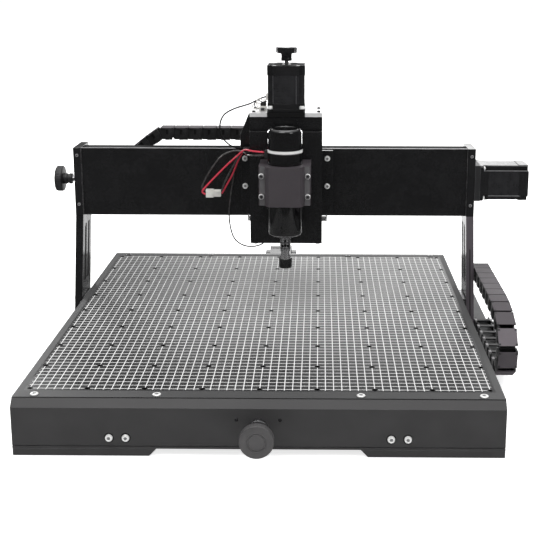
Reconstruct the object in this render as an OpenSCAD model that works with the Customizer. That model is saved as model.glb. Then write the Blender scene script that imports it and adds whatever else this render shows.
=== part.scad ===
// Bench-top CNC router with a moving gantry.
// X runs left to right, Y runs front to back, Z is up, seen from the handwheel end of the bed.
// The modules work in the bed's own frame: its origin is the table's centre hole on the table top.
// The last block moves the whole machine so that its origin is the bottom centre of its box.

/* [Bed] */
// Width of the table plate along X
table_w = 590; // [580:1:592]
// Thickness of the table plate
table_t = 4; // [3:0.5:4]
// Height of the table top above the bench
table_h = 71.5; // [71:0.5:80]
// Distance between neighbouring clamping holes
hole_pitch = 70; // [60:1:70]
// Diameter of a clamping hole
clamp_hole_d = 5; // [4:0.1:6]

/* [Gantry] */
// Clear width between the two gantry plates
gantry_gap = 610; // [608:1:612]
// Thickness of a gantry plate
plate_t = 12; // [10:1:12]
// Height of the beam's lower edge above the table
beam_low = 117; // [112:1:119]
// Height of the beam's upper edge above the table
beam_high = 226; // [224:1:228]
// How far a leg leans forward for each millimetre that it drops
leg_lean = 0.235; // [0.2:0.005:0.25]

/* [Spindle] */
// Diameter of the spindle motor's body
spindle_d = 52; // [48:0.5:52]
// Diameter of the spindle's shaft
spindle_shaft_d = 16; // [12:0.5:17]
// Diameter of the collet nut
collet_nut_d = 20; // [18:0.5:22]
// Diameter of the tool shank that the collet holds
tool_shank_d = 3.175; // [3:0.005:4]

/* [Drives] */
// Side of a stepper motor's square flange
motor_w = 57; // [56:0.5:57]
// Length of the X and Y stepper motors' bodies
motor_l = 76; // [56:1:80]
// Length of the Z stepper motor's body
z_motor_l = 70; // [56:1:72]
// Diameter of the X and Y handwheels
wheel_d = 41; // [36:1:44]
// Diameter of the Z knob
knob_d = 32; // [24:1:34]
// Diameter of the X and Y leadscrews
screw_d = 12; // [10:0.5:12]
// Diameter of the Z leadscrew
z_screw_d = 10; // [9:0.5:10]

/* [Hidden] */

// Fits, as radial gaps
run_gap = 0.05;
seat_gap = 0.02;
rail_gap = 0.3;

// Colours
black_anodised = [0.13, 0.13, 0.14];
dark_grey = [0.25, 0.24, 0.25];
table_grey = [0.36, 0.36, 0.37];
clamp_grey = [0.27, 0.25, 0.27];
gloss_black = [0.05, 0.05, 0.06];
steel = [0.74, 0.74, 0.75];
bronze = [0.75, 0.6, 0.3];
silver = [0.85, 0.85, 0.84];
white_nylon = [0.92, 0.92, 0.89];
wire_red = [0.72, 0.10, 0.14];
wire_black = [0.06, 0.06, 0.06];

// Bed
table_front = -305;
table_rear = 295;
holes_each_way = 9;
panel_front = -313;
panel_t = 8;
panel_low = -62;
panel_back = table_front + 4;
rear_panel_y = table_rear + panel_t;
chamfer_z = -10;
beam_in = 255;
beam_out = 285;
side_beam_low = -44;
cross_z = [-18, -table_t];
cross_y = [-240, -120, 0, 120, 225];
foot_in_low = 131;
foot_in_high = 122;
foot_depth = 24;
table_screw_x = [-270, -122.5, 122.5, 270];
table_screw_y = [-297, 287];
panel_screw_x = [-178.5, -158.5, 158.5, 178.5];
panel_screw_z = -48;
set_screw_x = 26;
set_screw_z = -24;

// Rails and their blocks, one size for both axes
rail_w = 12;
rail_h = 8;
block_w = 27;
rail_foot_gap = 3;

// Y drive
y_axis_z = -35;
y_rail_z = -24;
y_rail_span = [-285, 262];
y_block_y = [86, 136];
crossbar_y = [84, 124];
crossbar_z = [-58, -46];
y_nut_y = [86, 120];
y_bearing_y = [[-301, -288], [246, 258]];
wheel_t = 11;
y_wheel_front = -350;
hub_d = 17;
hub_l = 14;
knob_hub_l = 11.5;
collar_d = 25;
collar_t = 6;
journal_d = 8;
bearing_d = 22;
bearing_t = 7;
coupler_d = 19;
coupler_l = 28;
motor_shaft_d = 6.35;
motor_shaft_l = 21;
motor_pilot_d = 38.1;
motor_pilot_t = 1.6;
motor_hole_pitch = 47.14;
motor_flange_t = 5;
motor_notch = 8.5;

// Gantry
plate_in = gantry_gap / 2;
plate_out = plate_in + plate_t;
plate_front = 117;
plate_rear = 172;
plate_low = -60;
groove_z = [12, 97];
groove_back = [13, 37];
groove_w = 4;
groove_depth = 2;
cover_y = [120, 123.5];
beam_y = [147, 167];
beam_z = [120, 222];
channel_y = 161;
channel_z = [153, 189];
x_axis_y = 145;
x_axis_z = 171;
x_rail_z = [138, 205];
x_rail_end = 288;
x_housing_x = [262, 274];
x_wheel_left = -351.5;
mount_t = 8.5;

// Carriage and Z axis, about the spindle's centre line
axis_x = 21;
axis_half = 54.5;
carriage_y = [100, 106];
carriage_z = [124.5, 226];
carriage_half = 71.5;
saddle_y = [127, 134];
wrap_half = 62.5;
wrap_t = 6;
wrap_sheet_t = 1.5;
housing_front = 60;
housing_z = [88, 285];
z_side_t = 6;
z_bottom_t = 8;
z_top_t = 6;
z_axis_y = 88.5;
z_bearing_z = [243, 252];
z_front_cover = [246, 285];
rod_d = 12;
linear_bearing_d = 21;
z_nut_d = 16;
rod_dx = 34;
rod_y = 82;
slide_plate_y = [48, 57];
slide_plate_z = [92, 264];
carrier_z = [172, 222];
knob_z = [378, 387];

// Spindle
spindle_y = 15;
body_z = [116, 240];
ring_z = [240, 244];
cap_z = [244, 275];
gland_z = [230, 242];
clamp_z = [163.6, 222];
clamp_front = -18;
clamp_flange = -6;
clamp_core = 22;
clamp_half = 38;
collet_z = [64, 77];
shaft_z = [77, 112];

// Cable chains
chain_w = 27;
chain_h = 20;
chain_wall = 2.5;
y_chain_x = 318;
y_chain_pitch = 26;
y_chain_start = [128, 27];
y_chain_over = [180, 180, 180, 180, 180, 180, 183, 190, 203, 234];
y_chain_under = [280, 326, 360, 360, 360, 360, 360, 360, 360];
x_chain_y = 210;
x_chain_pitch = 23;
x_chain_start = [-52, 238];
x_chain_over = [180, 180, 180, 180, 180, 180, 215, 218, 258];
x_chain_under = [300, 335, 360, 360, 360, 360, 360, 360, 360, 360, 360];

// Wires, with the points of their routes
thin_wire_d = 2.2;
wire_d = 2.8;
wire_sides = 8;
connector = [-93, 86, 161];
connector_size = [23, 9, 13];
z_motor_lead_route = [
    [-7.6, 92, 312], [-20, 92, 308], [-36, 92, 300], [-58, 92, 293], [-73, 92, 285],
    [-80, 92, 275], [-82, 92, 262], [-79, 93, 248], [-68, 94, 236], [-57, 95, 231], [-46.8, 96, 230.2]
];
limit_switch_route = [
    [-47.2, 97, 225], [-55, 96, 212], [-63, 95, 181], [-68, 94, 149], [-70, 93, 124],
    [-67, 92, 100], [-60, 92, 84], [-46, 92, 75], [-30, 92, 74], [-17, 92, 79], [-14, 92, 87.7]
];
harness_red_route = [
    [-80.3, 88, 159.9], [-74, 89, 171], [-64, 90, 189], [-56, 91, 208], [-47.4, 92, 226]
];
harness_black_route = [
    [-80.3, 85, 164.5], [-74, 86, 181], [-64, 86, 200], [-55, 87, 216], [-47.4, 88, 228]
];
spindle_red_route = [
    [-105.5, 85, 159], [-110, 85, 163], [-106, 85, 170], [-84, 85, 193], [-70, 84, 207],
    [-56, 81, 220], [-46, 73, 230], [-40, 62, 234], [-37, 49, 236], [-28, 34, 237], [-10.1, 19.5, 238]
];
spindle_black_route = [
    [-105.5, 87.5, 163.8], [-111, 88.8, 169], [-106, 88.6, 182], [-94, 88, 202], [-80, 88, 219],
    [-66, 88, 226], [-54, 85, 228], [-43, 78, 226], [-39, 59, 227], [-31, 36, 230], [-10.1, 15.7, 234]
];

// Box of the whole machine, which sets the origin
box_left = x_wheel_left;
box_right = plate_out + mount_t + motor_l;
box_front = y_wheel_front;
box_rear = rear_panel_y + motor_l;

// ---- Helpers ----

module box(x, y, z) {
    translate([x[0], y[0], z[0]]) cube([x[1] - x[0], y[1] - y[0], z[1] - z[0]]);
}

module bar_x(x, y, z, d) {
    translate([x[0], y, z]) rotate([0, 90, 0]) cylinder(d = d, h = x[1] - x[0], $fn = 48);
}

module bar_y(x, y, z, d) {
    translate([x, y[1], z]) rotate([90, 0, 0]) cylinder(d = d, h = y[1] - y[0], $fn = 48);
}

module bar_z(x, y, z, d) {
    translate([x, y, z[0]]) cylinder(d = d, h = z[1] - z[0], $fn = 48);
}

// A socket-head screw whose head stands on the plane z = 0 and whose shank goes down
module screw(head_d, head_h, shank_d, shank_l) {
    socket_d = 0.5 * head_d;
    difference() {
        union() {
            cylinder(d1 = head_d, d2 = 0.8 * head_d, h = head_h, $fn = 32);
            translate([0, 0, -shank_l]) cylinder(d = shank_d, h = shank_l + 0.5, $fn = 24);
        }
        translate([0, 0, 0.4 * head_h]) cylinder(d = socket_d, h = head_h, $fn = 6);
    }
}

// The hole that a screw's shank goes into
module screw_hole(shank_d, shank_l) {
    translate([0, 0, -shank_l - 1]) cylinder(d = shank_d + 2 * run_gap, h = shank_l + 2, $fn = 24);
}

module at_motor_screws() {
    for (x = [-1, 1], y = [-1, 1]) {
        translate([x * motor_hole_pitch / 2, y * motor_hole_pitch / 2, motor_flange_t]) children();
    }
}

// A square stepper motor that faces along -Z, with its face on z = 0 and a bore for its shaft.
// The body's corners are cut away, so that the flange's screws can be reached
module stepper(length, bore_h) {
    difference() {
        union() {
            translate([0, 0, motor_flange_t / 2]) cube([motor_w, motor_w, motor_flange_t], center = true);
            linear_extrude(length) notched_square(motor_w - 1, motor_notch);
            translate([0, 0, length - 12]) linear_extrude(12) notched_square(motor_w, motor_notch);
            translate([0, 0, -motor_pilot_t]) cylinder(d = motor_pilot_d, h = motor_pilot_t + 1, $fn = 64);
        }
        translate([0, 0, -motor_pilot_t - 1]) {
            cylinder(d = motor_shaft_d + 2 * run_gap, h = motor_pilot_t + bore_h + 3, $fn = 48);
        }
        at_motor_screws() screw_hole(4, motor_flange_t);
    }
}

module notched_square(side, cut) {
    h = side / 2;
    c = h - cut;
    polygon([
        [h, -c], [h, c], [c, c], [c, h], [-c, h], [-c, c],
        [-h, c], [-h, -c], [-c, -c], [-c, -h], [c, -h], [c, -c]
    ]);
}

// A ball bearing whose axis is Z, from z = 0 up
module bearing() {
    difference() {
        cylinder(d = bearing_d, h = bearing_t, $fn = 64);
        translate([0, 0, -1]) cylinder(d = journal_d + 2 * run_gap, h = bearing_t + 2, $fn = 48);
        translate([0, 0, bearing_t - 0.6]) bearing_groove();
        translate([0, 0, -0.4]) bearing_groove();
    }
}

module bearing_groove() {
    difference() {
        cylinder(d = bearing_d - 5, h = 1, $fn = 48);
        translate([0, 0, -1]) cylinder(d = journal_d + 4, h = 3, $fn = 48);
    }
}

// A handwheel that faces along -Z: rim face on z = 0, hub behind it, blind bore for the journal
module handwheel(d, t, hub, hub_h, bore) {
    difference() {
        union() {
            translate([0, 0, 1]) cylinder(d = d, h = t - 2, $fn = 96);
            cylinder(d1 = d - 2, d2 = d, h = 1, $fn = 96);
            translate([0, 0, t - 1]) cylinder(d1 = d, d2 = d - 2, h = 1, $fn = 96);
            translate([0, 0, t]) cylinder(d = hub, h = hub_h, $fn = 48);
        }
        translate([0, 0, t / 2]) cylinder(d = bore + 2 * seat_gap, h = t + hub_h, $fn = 48);
        translate([0, 0, -1]) difference() {
            cylinder(d = d - 8, h = 1.8, $fn = 64);
            translate([0, 0, -1]) cylinder(d = d - 11, h = 4, $fn = 64);
        }
    }
}

// A rail block that rides round a rail: rail foot on z = 0, rail along X, block open towards the foot
module rail_block(length, reach) {
    difference() {
        translate([-length / 2, -block_w / 2, rail_foot_gap]) {
            cube([length, block_w, reach - rail_foot_gap]);
        }
        translate([-length / 2 - 1, -rail_w / 2 - rail_gap, -1]) {
            cube([length + 2, rail_w + 2 * rail_gap, rail_h + rail_gap + 1]);
        }
    }
}

// A rail with its foot on z = 0, along X, with a row of counterbored screw holes
module rail(from, to, holes) {
    step = (to - from) / holes;
    difference() {
        translate([from, -rail_w / 2, 0]) cube([to - from, rail_w, rail_h]);
        for (i = [0 : holes - 1]) {
            translate([from + step * (i + 0.5), 0, -1]) cylinder(d = 3.5, h = rail_h + 2, $fn = 20);
            translate([from + step * (i + 0.5), 0, rail_h - 4.5]) cylinder(d = 6, h = 6, $fn = 20);
        }
    }
}

// A cable chain's link along +X from the origin. Its lid is on the -Y side and its width runs along +Z.
// turn is the angle to the next link, which the side walls' inner edges make room for
module chain_link(length, turn = 0) {
    h = chain_h / 2;
    g = 0.3;
    cut = g + h * tan(turn / 2);
    translate([g, -h, 0]) cube([length - 2 * g, chain_wall, chain_w]);
    for (z = [0, chain_w - chain_wall]) translate([0, 0, z]) linear_extrude(chain_wall) polygon([
        [g, -h], [length - g, -h], [length - g, 0], [length - cut, h], [cut, h], [g, 0]
    ]);
    translate([length * 0.35, h - chain_wall, 0]) cube([length * 0.3, chain_wall, chain_w]);
}

// Where link i starts, on a chain whose links follow a list of headings
function chain_at(start, headings, pitch, i) =
    i == 0 ? start
    : chain_at(start, headings, pitch, i - 1) + pitch * [cos(headings[i - 1]), sin(headings[i - 1])];

// The links of a chain from the one numbered from up to the one before to
module chain(start, headings, pitch, from, to) {
    last = len(headings) - 1;
    for (i = [from : to - 1]) {
        before = abs(headings[i] - headings[max(i - 1, 0)]);
        after = abs(headings[min(i + 1, last)] - headings[i]);
        translate(chain_at(start, headings, pitch, i)) rotate([0, 0, headings[i]]) {
            chain_link(pitch, max(before, after));
        }
    }
}

module y_chain(from, to) {
    color(gloss_black) translate([y_chain_x, 0, 0]) rotate([90, 0, 90]) {
        chain(y_chain_start, concat(y_chain_over, y_chain_under), y_chain_pitch, from, to);
    }
}

module x_chain(from, to) {
    color(gloss_black) translate([0, x_chain_y, 0]) rotate([90, 0, 0]) {
        chain(x_chain_start, concat(x_chain_over, x_chain_under), x_chain_pitch, from, to);
    }
}

// The end of a chain's lower run, as a distance along it and the height of its centre line
function chain_end(start, over, under, pitch) =
    chain_at(start, concat(over, under), pitch, len(over) + len(under));

// A point on the smooth curve through a list of points, at a whole number plus a fraction
function route_at(p, t) =
    let (
        n = len(p),
        i = min(floor(t), n - 2),
        f = t - i,
        a = p[max(i - 1, 0)],
        b = p[i],
        c = p[i + 1],
        d = p[min(i + 2, n - 1)]
    )
    0.5 * (2 * b + (c - a) * f + (2 * a - 5 * b + 4 * c - d) * f * f
        + (3 * b - a - 3 * c + d) * f * f * f);

// A wire swept along a route as one closed solid, with a given number of rings
module wire(route, d, rings) {
    span = len(route) - 1;
    points = [
        for (k = [0 : rings - 1])
            let (
                t = span * k / (rings - 1),
                at = route_at(route, t),
                ahead = route_at(route, min(t + 0.02, span)) - route_at(route, max(t - 0.02, 0)),
                dir = ahead / norm(ahead),
                out = cross(dir, [0, 1, 0]),
                side = out / norm(out),
                up = cross(side, dir)
            )
            for (j = [0 : wire_sides - 1])
                let (a = 360 * j / wire_sides)
                at + (cos(a) * side + sin(a) * up) * d / 2
    ];
    faces = [
        [for (j = [wire_sides - 1 : -1 : 0]) j],
        [for (j = [0 : wire_sides - 1]) (rings - 1) * wire_sides + j],
        for (k = [0 : rings - 2])
            for (j = [0 : wire_sides - 1])
                let (m = (j + 1) % wire_sides)
                [k * wire_sides + j, k * wire_sides + m, (k + 1) * wire_sides + m,
                    (k + 1) * wire_sides + j]
    ];
    polyhedron(points, faces);
}

// ---- Bed ----

module at_table_screws() {
    for (x = table_screw_x, y = table_screw_y) translate([x, y, 0]) children();
}

module at_panel_screws() {
    for (x = panel_screw_x) translate([x, panel_front, panel_screw_z]) rotate([90, 0, 0]) children();
}

module at_set_screws() {
    for (x = [-set_screw_x, set_screw_x]) {
        translate([x, panel_front, set_screw_z]) rotate([90, 0, 0]) children();
    }
}

module table_plate() {
    half = (holes_each_way - 1) / 2;
    color(table_grey) difference() {
        box([-table_w / 2, table_w / 2], [table_front, table_rear], [-table_t, 0]);
        for (i = [-half : half], j = [-half : half]) {
            translate([i * hole_pitch, j * hole_pitch, -table_t - 1]) {
                cylinder(d = clamp_hole_d, h = table_t + 2, $fn = 24);
            }
        }
        at_table_screws() screw_hole(5, table_t);
    }
}

module front_panel() {
    color(black_anodised) difference() {
        translate([-table_w / 2, 0, 0]) rotate([90, 0, 90]) linear_extrude(table_w) polygon([
            [table_front, -1], [panel_front, chamfer_z], [panel_front, -58], [panel_front + 1, -58],
            [panel_front + 1, -59.5], [panel_front, -59.5], [panel_front, panel_low],
            [panel_back, panel_low], [panel_back, -table_t], [table_front, -table_t]
        ]);
        bar_y(0, [panel_front - 1, panel_back + 1], y_axis_z, journal_d + 2);
        at_panel_screws() screw_hole(4, 8);
        at_set_screws() screw_hole(3, 8);
    }
}

module rear_panel() {
    color(black_anodised) difference() {
        box([-table_w / 2, table_w / 2], [table_rear, rear_panel_y], [panel_low, 0]);
        bar_y(0, [table_rear - 1, rear_panel_y + 1], y_axis_z, motor_pilot_d + 2 * run_gap);
    }
}

// Two side beams with a slot along the inner face, and the cross members between them
module bed_frame() {
    slot = [y_axis_z + 6, y_axis_z + 14];
    color(dark_grey) {
        for (s = [-1, 1]) difference() {
            box([min(s * beam_in, s * beam_out), max(s * beam_in, s * beam_out)],
                [panel_back, table_rear], [side_beam_low, -table_t]);
            translate([s * beam_in, 0, 0]) box([-5, 5], [panel_back - 1, table_rear + 1], slot);
        }
        for (y = cross_y) box([-beam_in, beam_in], [y - 15, y + 15], cross_z);
    }
}

module feet() {
    foot_low = -table_h;
    color(black_anodised)
    for (s = [-1, 1], y = [panel_front + foot_depth, rear_panel_y]) {
        translate([0, y, 0]) rotate([90, 0, 0]) linear_extrude(foot_depth) polygon([
            [s * table_w / 2, foot_low], [s * foot_in_low, foot_low],
            [s * foot_in_high, panel_low], [s * table_w / 2, panel_low]
        ]);
    }
}

module y_rails() {
    color(steel) for (s = [-1, 1]) {
        translate([s * beam_out, 0, y_rail_z]) rotate([0, s * 90, 0]) rotate([0, 0, 90]) {
            rail(y_rail_span[0], y_rail_span[1], 9);
        }
    }
}

// The two housings under the bed with a ball bearing in each
module y_bearing_units() {
    for (y = y_bearing_y) {
        color(dark_grey) difference() {
            box([-22, 22], y, [y_axis_z - 15, cross_z[0]]);
            bar_y(0, [y[0] - 1, y[1] + 1], y_axis_z, bearing_d + 2 * seat_gap);
        }
        color(steel) translate([0, y[1] - 2, y_axis_z]) rotate([90, 0, 0]) bearing();
    }
    color(steel) difference() {
        bar_y(0, [panel_front - collar_t, panel_front], y_axis_z, collar_d);
        bar_y(0, [panel_front - collar_t - 1, panel_front + 1], y_axis_z, journal_d + 2 * run_gap);
    }
}

module at_y_motor() translate([0, rear_panel_y, y_axis_z]) rotate([-90, 0, 0]) children();

module y_motor() color(black_anodised) at_y_motor() stepper(motor_l, 12);

module bed_screws() {
    color(silver) {
        at_table_screws() screw(10, 1.5, 5, table_t);
        at_panel_screws() screw(9, 2.8, 4, 8);
        at_set_screws() screw(4, 0.8, 3, 6);
        at_y_motor() at_motor_screws() screw(7, 3, 4, motor_flange_t);
    }
}

// A strip beside the bed that carries the lower run, bolted to the side beam behind the gantry's travel
module y_chain_tray() {
    end = chain_end(y_chain_start, y_chain_over, y_chain_under, y_chain_pitch);
    strip_top = end[1] - chain_h / 2 - 0.2;
    strip_z = [strip_top - 2, strip_top];
    arm_y = [264, 278];
    tray_x = [y_chain_x + 0.5, y_chain_x + chain_w + 1.5];
    color(dark_grey) {
        box(tray_x, [-75, arm_y[1]], strip_z);
        box([beam_out, tray_x[0] + 1], arm_y, strip_z);
        box([beam_out, beam_out + 2], arm_y, [strip_z[0], -12]);
        box(tray_x, [end[0] + 0.5, end[0] + 3], [strip_z[0], strip_z[1] + 16]);
    }
}

module y_chain_lower() y_chain(len(y_chain_over), len(y_chain_over) + len(y_chain_under));

// ---- Gantry ----

// The outline of a gantry plate in the YZ plane, moved in by a margin on the leg's two long edges
module leg_outline() {
    lean = (beam_low - plate_low) * leg_lean;
    polygon([
        [plate_front, beam_high], [plate_front, beam_low], [plate_front - lean, plate_low],
        [plate_rear - lean, plate_low], [plate_rear, beam_low], [plate_rear, beam_high]
    ]);
}

// A shallow groove that follows the leg's lean, on the face at x = 0, at a distance behind the front edge
module leg_groove(back) {
    top = plate_front + back - (beam_low - groove_z[1]) * leg_lean;
    bottom = plate_front + back - (beam_low - groove_z[0]) * leg_lean;
    rotate([90, 0, 90]) translate([0, 0, -groove_depth]) linear_extrude(2 * groove_depth) polygon([
        [top, groove_z[1]], [bottom, groove_z[0]], [bottom + groove_w, groove_z[0]],
        [top + groove_w, groove_z[1]]
    ]);
}

module gantry_plate(s) {
    color(black_anodised) difference() {
        translate([s > 0 ? plate_in : -plate_out, 0, 0]) rotate([90, 0, 90]) {
            linear_extrude(plate_t) leg_outline();
        }
        for (back = groove_back) translate([s * plate_in, 0, 0]) leg_groove(back);
        at_edge_screws(s) screw_hole(3, 6);
        at_beam_screws(s) screw_hole(5, 8);
        if (s > 0) {
            bar_x([plate_in - 1, plate_out + 1], x_axis_y, x_axis_z, coupler_d + 4);
        } else {
            bar_x([-plate_out - 1, -plate_in + 1], x_axis_y, x_axis_z, bearing_d + 2 * seat_gap);
        }
    }
}

module at_edge_screws(s) {
    for (z = [135, 214]) translate([s * (plate_in + plate_t / 2), plate_front, z]) rotate([90, 0, 0]) {
        children();
    }
}

// Screws through a plate into the beam's end and into the bearing block's side
module at_beam_screws(s) {
    places = [[154, 133], [154, 208], [96, -14], [126, -14], [94, -34], [124, -34]];
    for (p = places) translate([s * plate_out, p[0], p[1]]) rotate([0, s * 90, 0]) children();
}

module left_gantry_plate() gantry_plate(-1);

module right_gantry_plate() gantry_plate(1);

// The beam behind the cover, with a channel for the leadscrew
module x_beam() {
    color(black_anodised) difference() {
        box([-plate_in, plate_in], beam_y, beam_z);
        box([-plate_in - 1, plate_in + 1], [beam_y[0] - 1, channel_y], channel_z);
        for (z = [130, 212]) {
            box([-plate_in - 1, plate_in + 1], [beam_y[1] - 4, beam_y[1] + 1], [z - 4, z + 4]);
        }
    }
}

// The cover in front of the carriage's rails, held at each end by two blocks
module front_cover() {
    color(black_anodised) {
        box([-plate_in, plate_in], cover_y, [beam_low, beam_high]);
        for (s = [-1, 1], z = [[120, 130], [213, 222]]) {
            box([min(s * (plate_in - 10), s * plate_in), max(s * (plate_in - 10), s * plate_in)],
                [cover_y[1], beam_y[0]], z);
        }
    }
}

module lower_crossbar() {
    color(dark_grey) box([-plate_in, plate_in], crossbar_y, crossbar_z);
}

// The block that stands on the crossbar under the bed, with the bronze nut in it
module y_nut_block() {
    color(dark_grey) difference() {
        box([-20, 20], y_nut_y, [crossbar_z[1], -21]);
        bar_y(0, [y_nut_y[0] - 1, y_nut_y[1] + 1], y_axis_z, 18 + 2 * seat_gap);
    }
    color(bronze) difference() {
        bar_y(0, [y_nut_y[0], y_nut_y[1]], y_axis_z, 18);
        bar_y(0, [y_nut_y[0] - 1, y_nut_y[1] + 1], y_axis_z, screw_d + 2 * run_gap);
    }
}

module y_bearing_blocks() {
    length = y_block_y[1] - y_block_y[0];
    color(steel) for (s = [-1, 1]) {
        translate([s * beam_out, (y_block_y[0] + y_block_y[1]) / 2, y_rail_z]) {
            rotate([0, s * 90, 0]) rotate([0, 0, 90]) rail_block(length, plate_in - beam_out);
        }
    }
}

module gantry_screws() {
    color(silver) {
        for (s = [-1, 1]) {
            at_edge_screws(s) screw(5, 1.5, 3, 6);
            at_beam_screws(s) screw(7, s > 0 ? 0.8 : 2.6, 5, 6);
        }
        at_x_motor() at_motor_screws() screw(7, 3, 4, motor_flange_t);
    }
}

module x_rails() {
    color(steel) for (z = x_rail_z) {
        translate([0, beam_y[0], z]) rotate([90, 0, 0]) rail(-x_rail_end, x_rail_end, 9);
    }
}

// The bearing in the left plate, and the housing near the right plate with its bearing
module x_bearing_units() {
    color(steel) {
        translate([-plate_out + 1, x_axis_y, x_axis_z]) rotate([0, 90, 0]) bearing();
        translate([x_housing_x[0] + 2, x_axis_y, x_axis_z]) rotate([0, 90, 0]) bearing();
    }
    color(dark_grey) difference() {
        box(x_housing_x, [saddle_y[0], channel_y], [channel_z[0] + 2, channel_z[1] - 2]);
        bar_x([x_housing_x[0] - 1, x_housing_x[1] + 1], x_axis_y, x_axis_z, bearing_d + 2 * seat_gap);
    }
}

module x_motor_mount() {
    half = motor_w / 2;
    color(dark_grey) difference() {
        box([plate_out, plate_out + mount_t], [x_axis_y - half, x_axis_y + half],
            [x_axis_z - half, x_axis_z + half]);
        bar_x([plate_out - 1, plate_out + mount_t + 1], x_axis_y, x_axis_z, motor_pilot_d + 2 * run_gap);
    }
}

module at_x_motor() {
    translate([plate_out + mount_t, x_axis_y, x_axis_z]) rotate([0, 90, 0]) children();
}

module x_motor() color(black_anodised) at_x_motor() stepper(motor_l, 12);

module x_chain_tray() {
    end = chain_end(x_chain_start, x_chain_over, x_chain_under, x_chain_pitch);
    tray_z = end[1] - chain_h / 2;
    color(dark_grey) {
        box([-200, 40], [beam_y[1], x_chain_y + 2], [tray_z - 2, tray_z - 0.2]);
        box([-200, 40], [beam_y[1], beam_y[1] + 2], [tray_z - 2, tray_z + 16]);
        box([end[0] + 0.5, end[0] + 3], [x_chain_y - chain_w, x_chain_y], [tray_z - 2, tray_z + 16]);
    }
}

module x_chain_lower() x_chain(len(x_chain_over), len(x_chain_over) + len(x_chain_under));

module y_chain_bracket() {
    z = [y_chain_start[1] - 8, y_chain_start[1] + 9];
    color(dark_grey) {
        box([plate_out, y_chain_x + chain_w], [y_chain_start[0], y_chain_start[0] + 3], z);
        box([plate_out, plate_out + 3], [y_chain_start[0], y_chain_start[0] + 20], z);
    }
}

module y_chain_upper() y_chain(0, len(y_chain_over));

// ---- Carriage ----

module at_carriage_screws() {
    for (dx = [-65.5, 62.4], z = [169.6, 213.6]) {
        translate([axis_x + dx, carriage_y[0], z]) rotate([90, 0, 0]) children();
    }
}

module at_bottom_screws() {
    for (dx = [-48, 48], y = [68, 92]) translate([axis_x + dx, y, housing_z[0]]) rotate([180, 0, 0]) {
        children();
    }
}

module at_top_screws() {
    for (dx = [-49, 49], y = [68, 108]) translate([axis_x + dx, y, housing_z[1] + z_top_t]) children();
}

module carriage_plate() {
    color(black_anodised) difference() {
        union() {
            box([axis_x - carriage_half, axis_x + carriage_half], carriage_y, carriage_z);
            box([axis_x - axis_half, axis_x + axis_half], carriage_y, housing_z);
        }
        at_carriage_screws() screw_hole(5, 4);
    }
}

// The thin tray that reaches under the cover to the saddle, and the flat bracket that reaches over it
module wrap_brackets() {
    tray_top = beam_low - 4;
    color(black_anodised) {
        box([axis_x - wrap_half, axis_x + wrap_half], [carriage_y[1], saddle_y[1]],
            [tray_top - wrap_sheet_t, tray_top]);
        for (x = [axis_x - wrap_half, axis_x + wrap_half - wrap_sheet_t]) {
            box([x, x + wrap_sheet_t], [carriage_y[1], cover_y[0] - 2], [tray_top, carriage_z[0] + 5]);
        }
        box([axis_x - axis_half, axis_x + axis_half], [carriage_y[1], saddle_y[1]],
            [beam_high + 3, beam_high + 3 + wrap_t]);
    }
}

module x_saddle() {
    color(dark_grey) box([axis_x - axis_half + 1, axis_x + axis_half - 1], saddle_y,
        [beam_low - 4, beam_high + 3]);
}

module x_bearing_blocks() {
    color(steel) for (z = x_rail_z, dx = [-30, 30]) {
        translate([axis_x + dx, beam_y[0], z]) rotate([90, 0, 0]) rail_block(40, beam_y[0] - saddle_y[1]);
    }
}

module x_nut_block() {
    x = [axis_x - 17, axis_x + 17];
    color(dark_grey) difference() {
        box(x, [saddle_y[1], channel_y - 3], [x_axis_z - 13, x_axis_z + 13]);
        bar_x([x[0] - 1, x[1] + 1], x_axis_y, x_axis_z, 18 + 2 * seat_gap);
    }
    color(bronze) difference() {
        bar_x(x, x_axis_y, x_axis_z, 18);
        bar_x([x[0] - 1, x[1] + 1], x_axis_y, x_axis_z, screw_d + 2 * run_gap);
    }
}

module carriage_screws() {
    color(silver) {
        at_carriage_screws() screw(9, 2.8, 5, 4);
        at_bottom_screws() screw(8, 2.6, 4, 6);
        at_top_screws() screw(5, 2, 3, z_top_t);
        at_z_motor() at_motor_screws() screw(7, 3, 4, motor_flange_t);
    }
}

// Two side plates and the bottom plate of the open-fronted Z housing
module z_housing() {
    sides = [housing_z[0] + z_bottom_t, housing_z[1]];
    color(black_anodised) {
        for (s = [-1, 1]) {
            inner = axis_x + s * (axis_half - z_side_t);
            outer = axis_x + s * axis_half;
            box([min(inner, outer), max(inner, outer)], [housing_front, carriage_y[0]], sides);
        }
        box([axis_x - axis_half, axis_x + axis_half], [housing_front - 2.5, housing_front], z_front_cover);
        difference() {
            box([axis_x - axis_half, axis_x + axis_half], [housing_front, carriage_y[0]],
                [housing_z[0], housing_z[0] + z_bottom_t]);
            at_bottom_screws() screw_hole(4, 6);
            for (s = [-1, 1]) {
                bar_z(axis_x + s * rod_dx, rod_y, [housing_z[0] + 2, sides[0] + 1], rod_d + 2 * seat_gap);
            }
            bar_z(axis_x, z_axis_y, [housing_z[0] + 1, sides[0] + 1], bearing_d + 2 * seat_gap);
        }
    }
}

module z_top_plate() {
    top = housing_z[1] + z_top_t;
    color(silver) difference() {
        box([axis_x - axis_half, axis_x + axis_half], [56, 119], [housing_z[1], top]);
        bar_z(axis_x, z_axis_y, [housing_z[1] - 1, top + 1], motor_pilot_d + 2 * run_gap);
        at_top_screws() screw_hole(3, z_top_t);
    }
}

module z_guide_rods() {
    color(steel) for (s = [-1, 1]) {
        bar_z(axis_x + s * rod_dx, rod_y, [housing_z[0] + 2, housing_z[1]], rod_d);
    }
}

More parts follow.
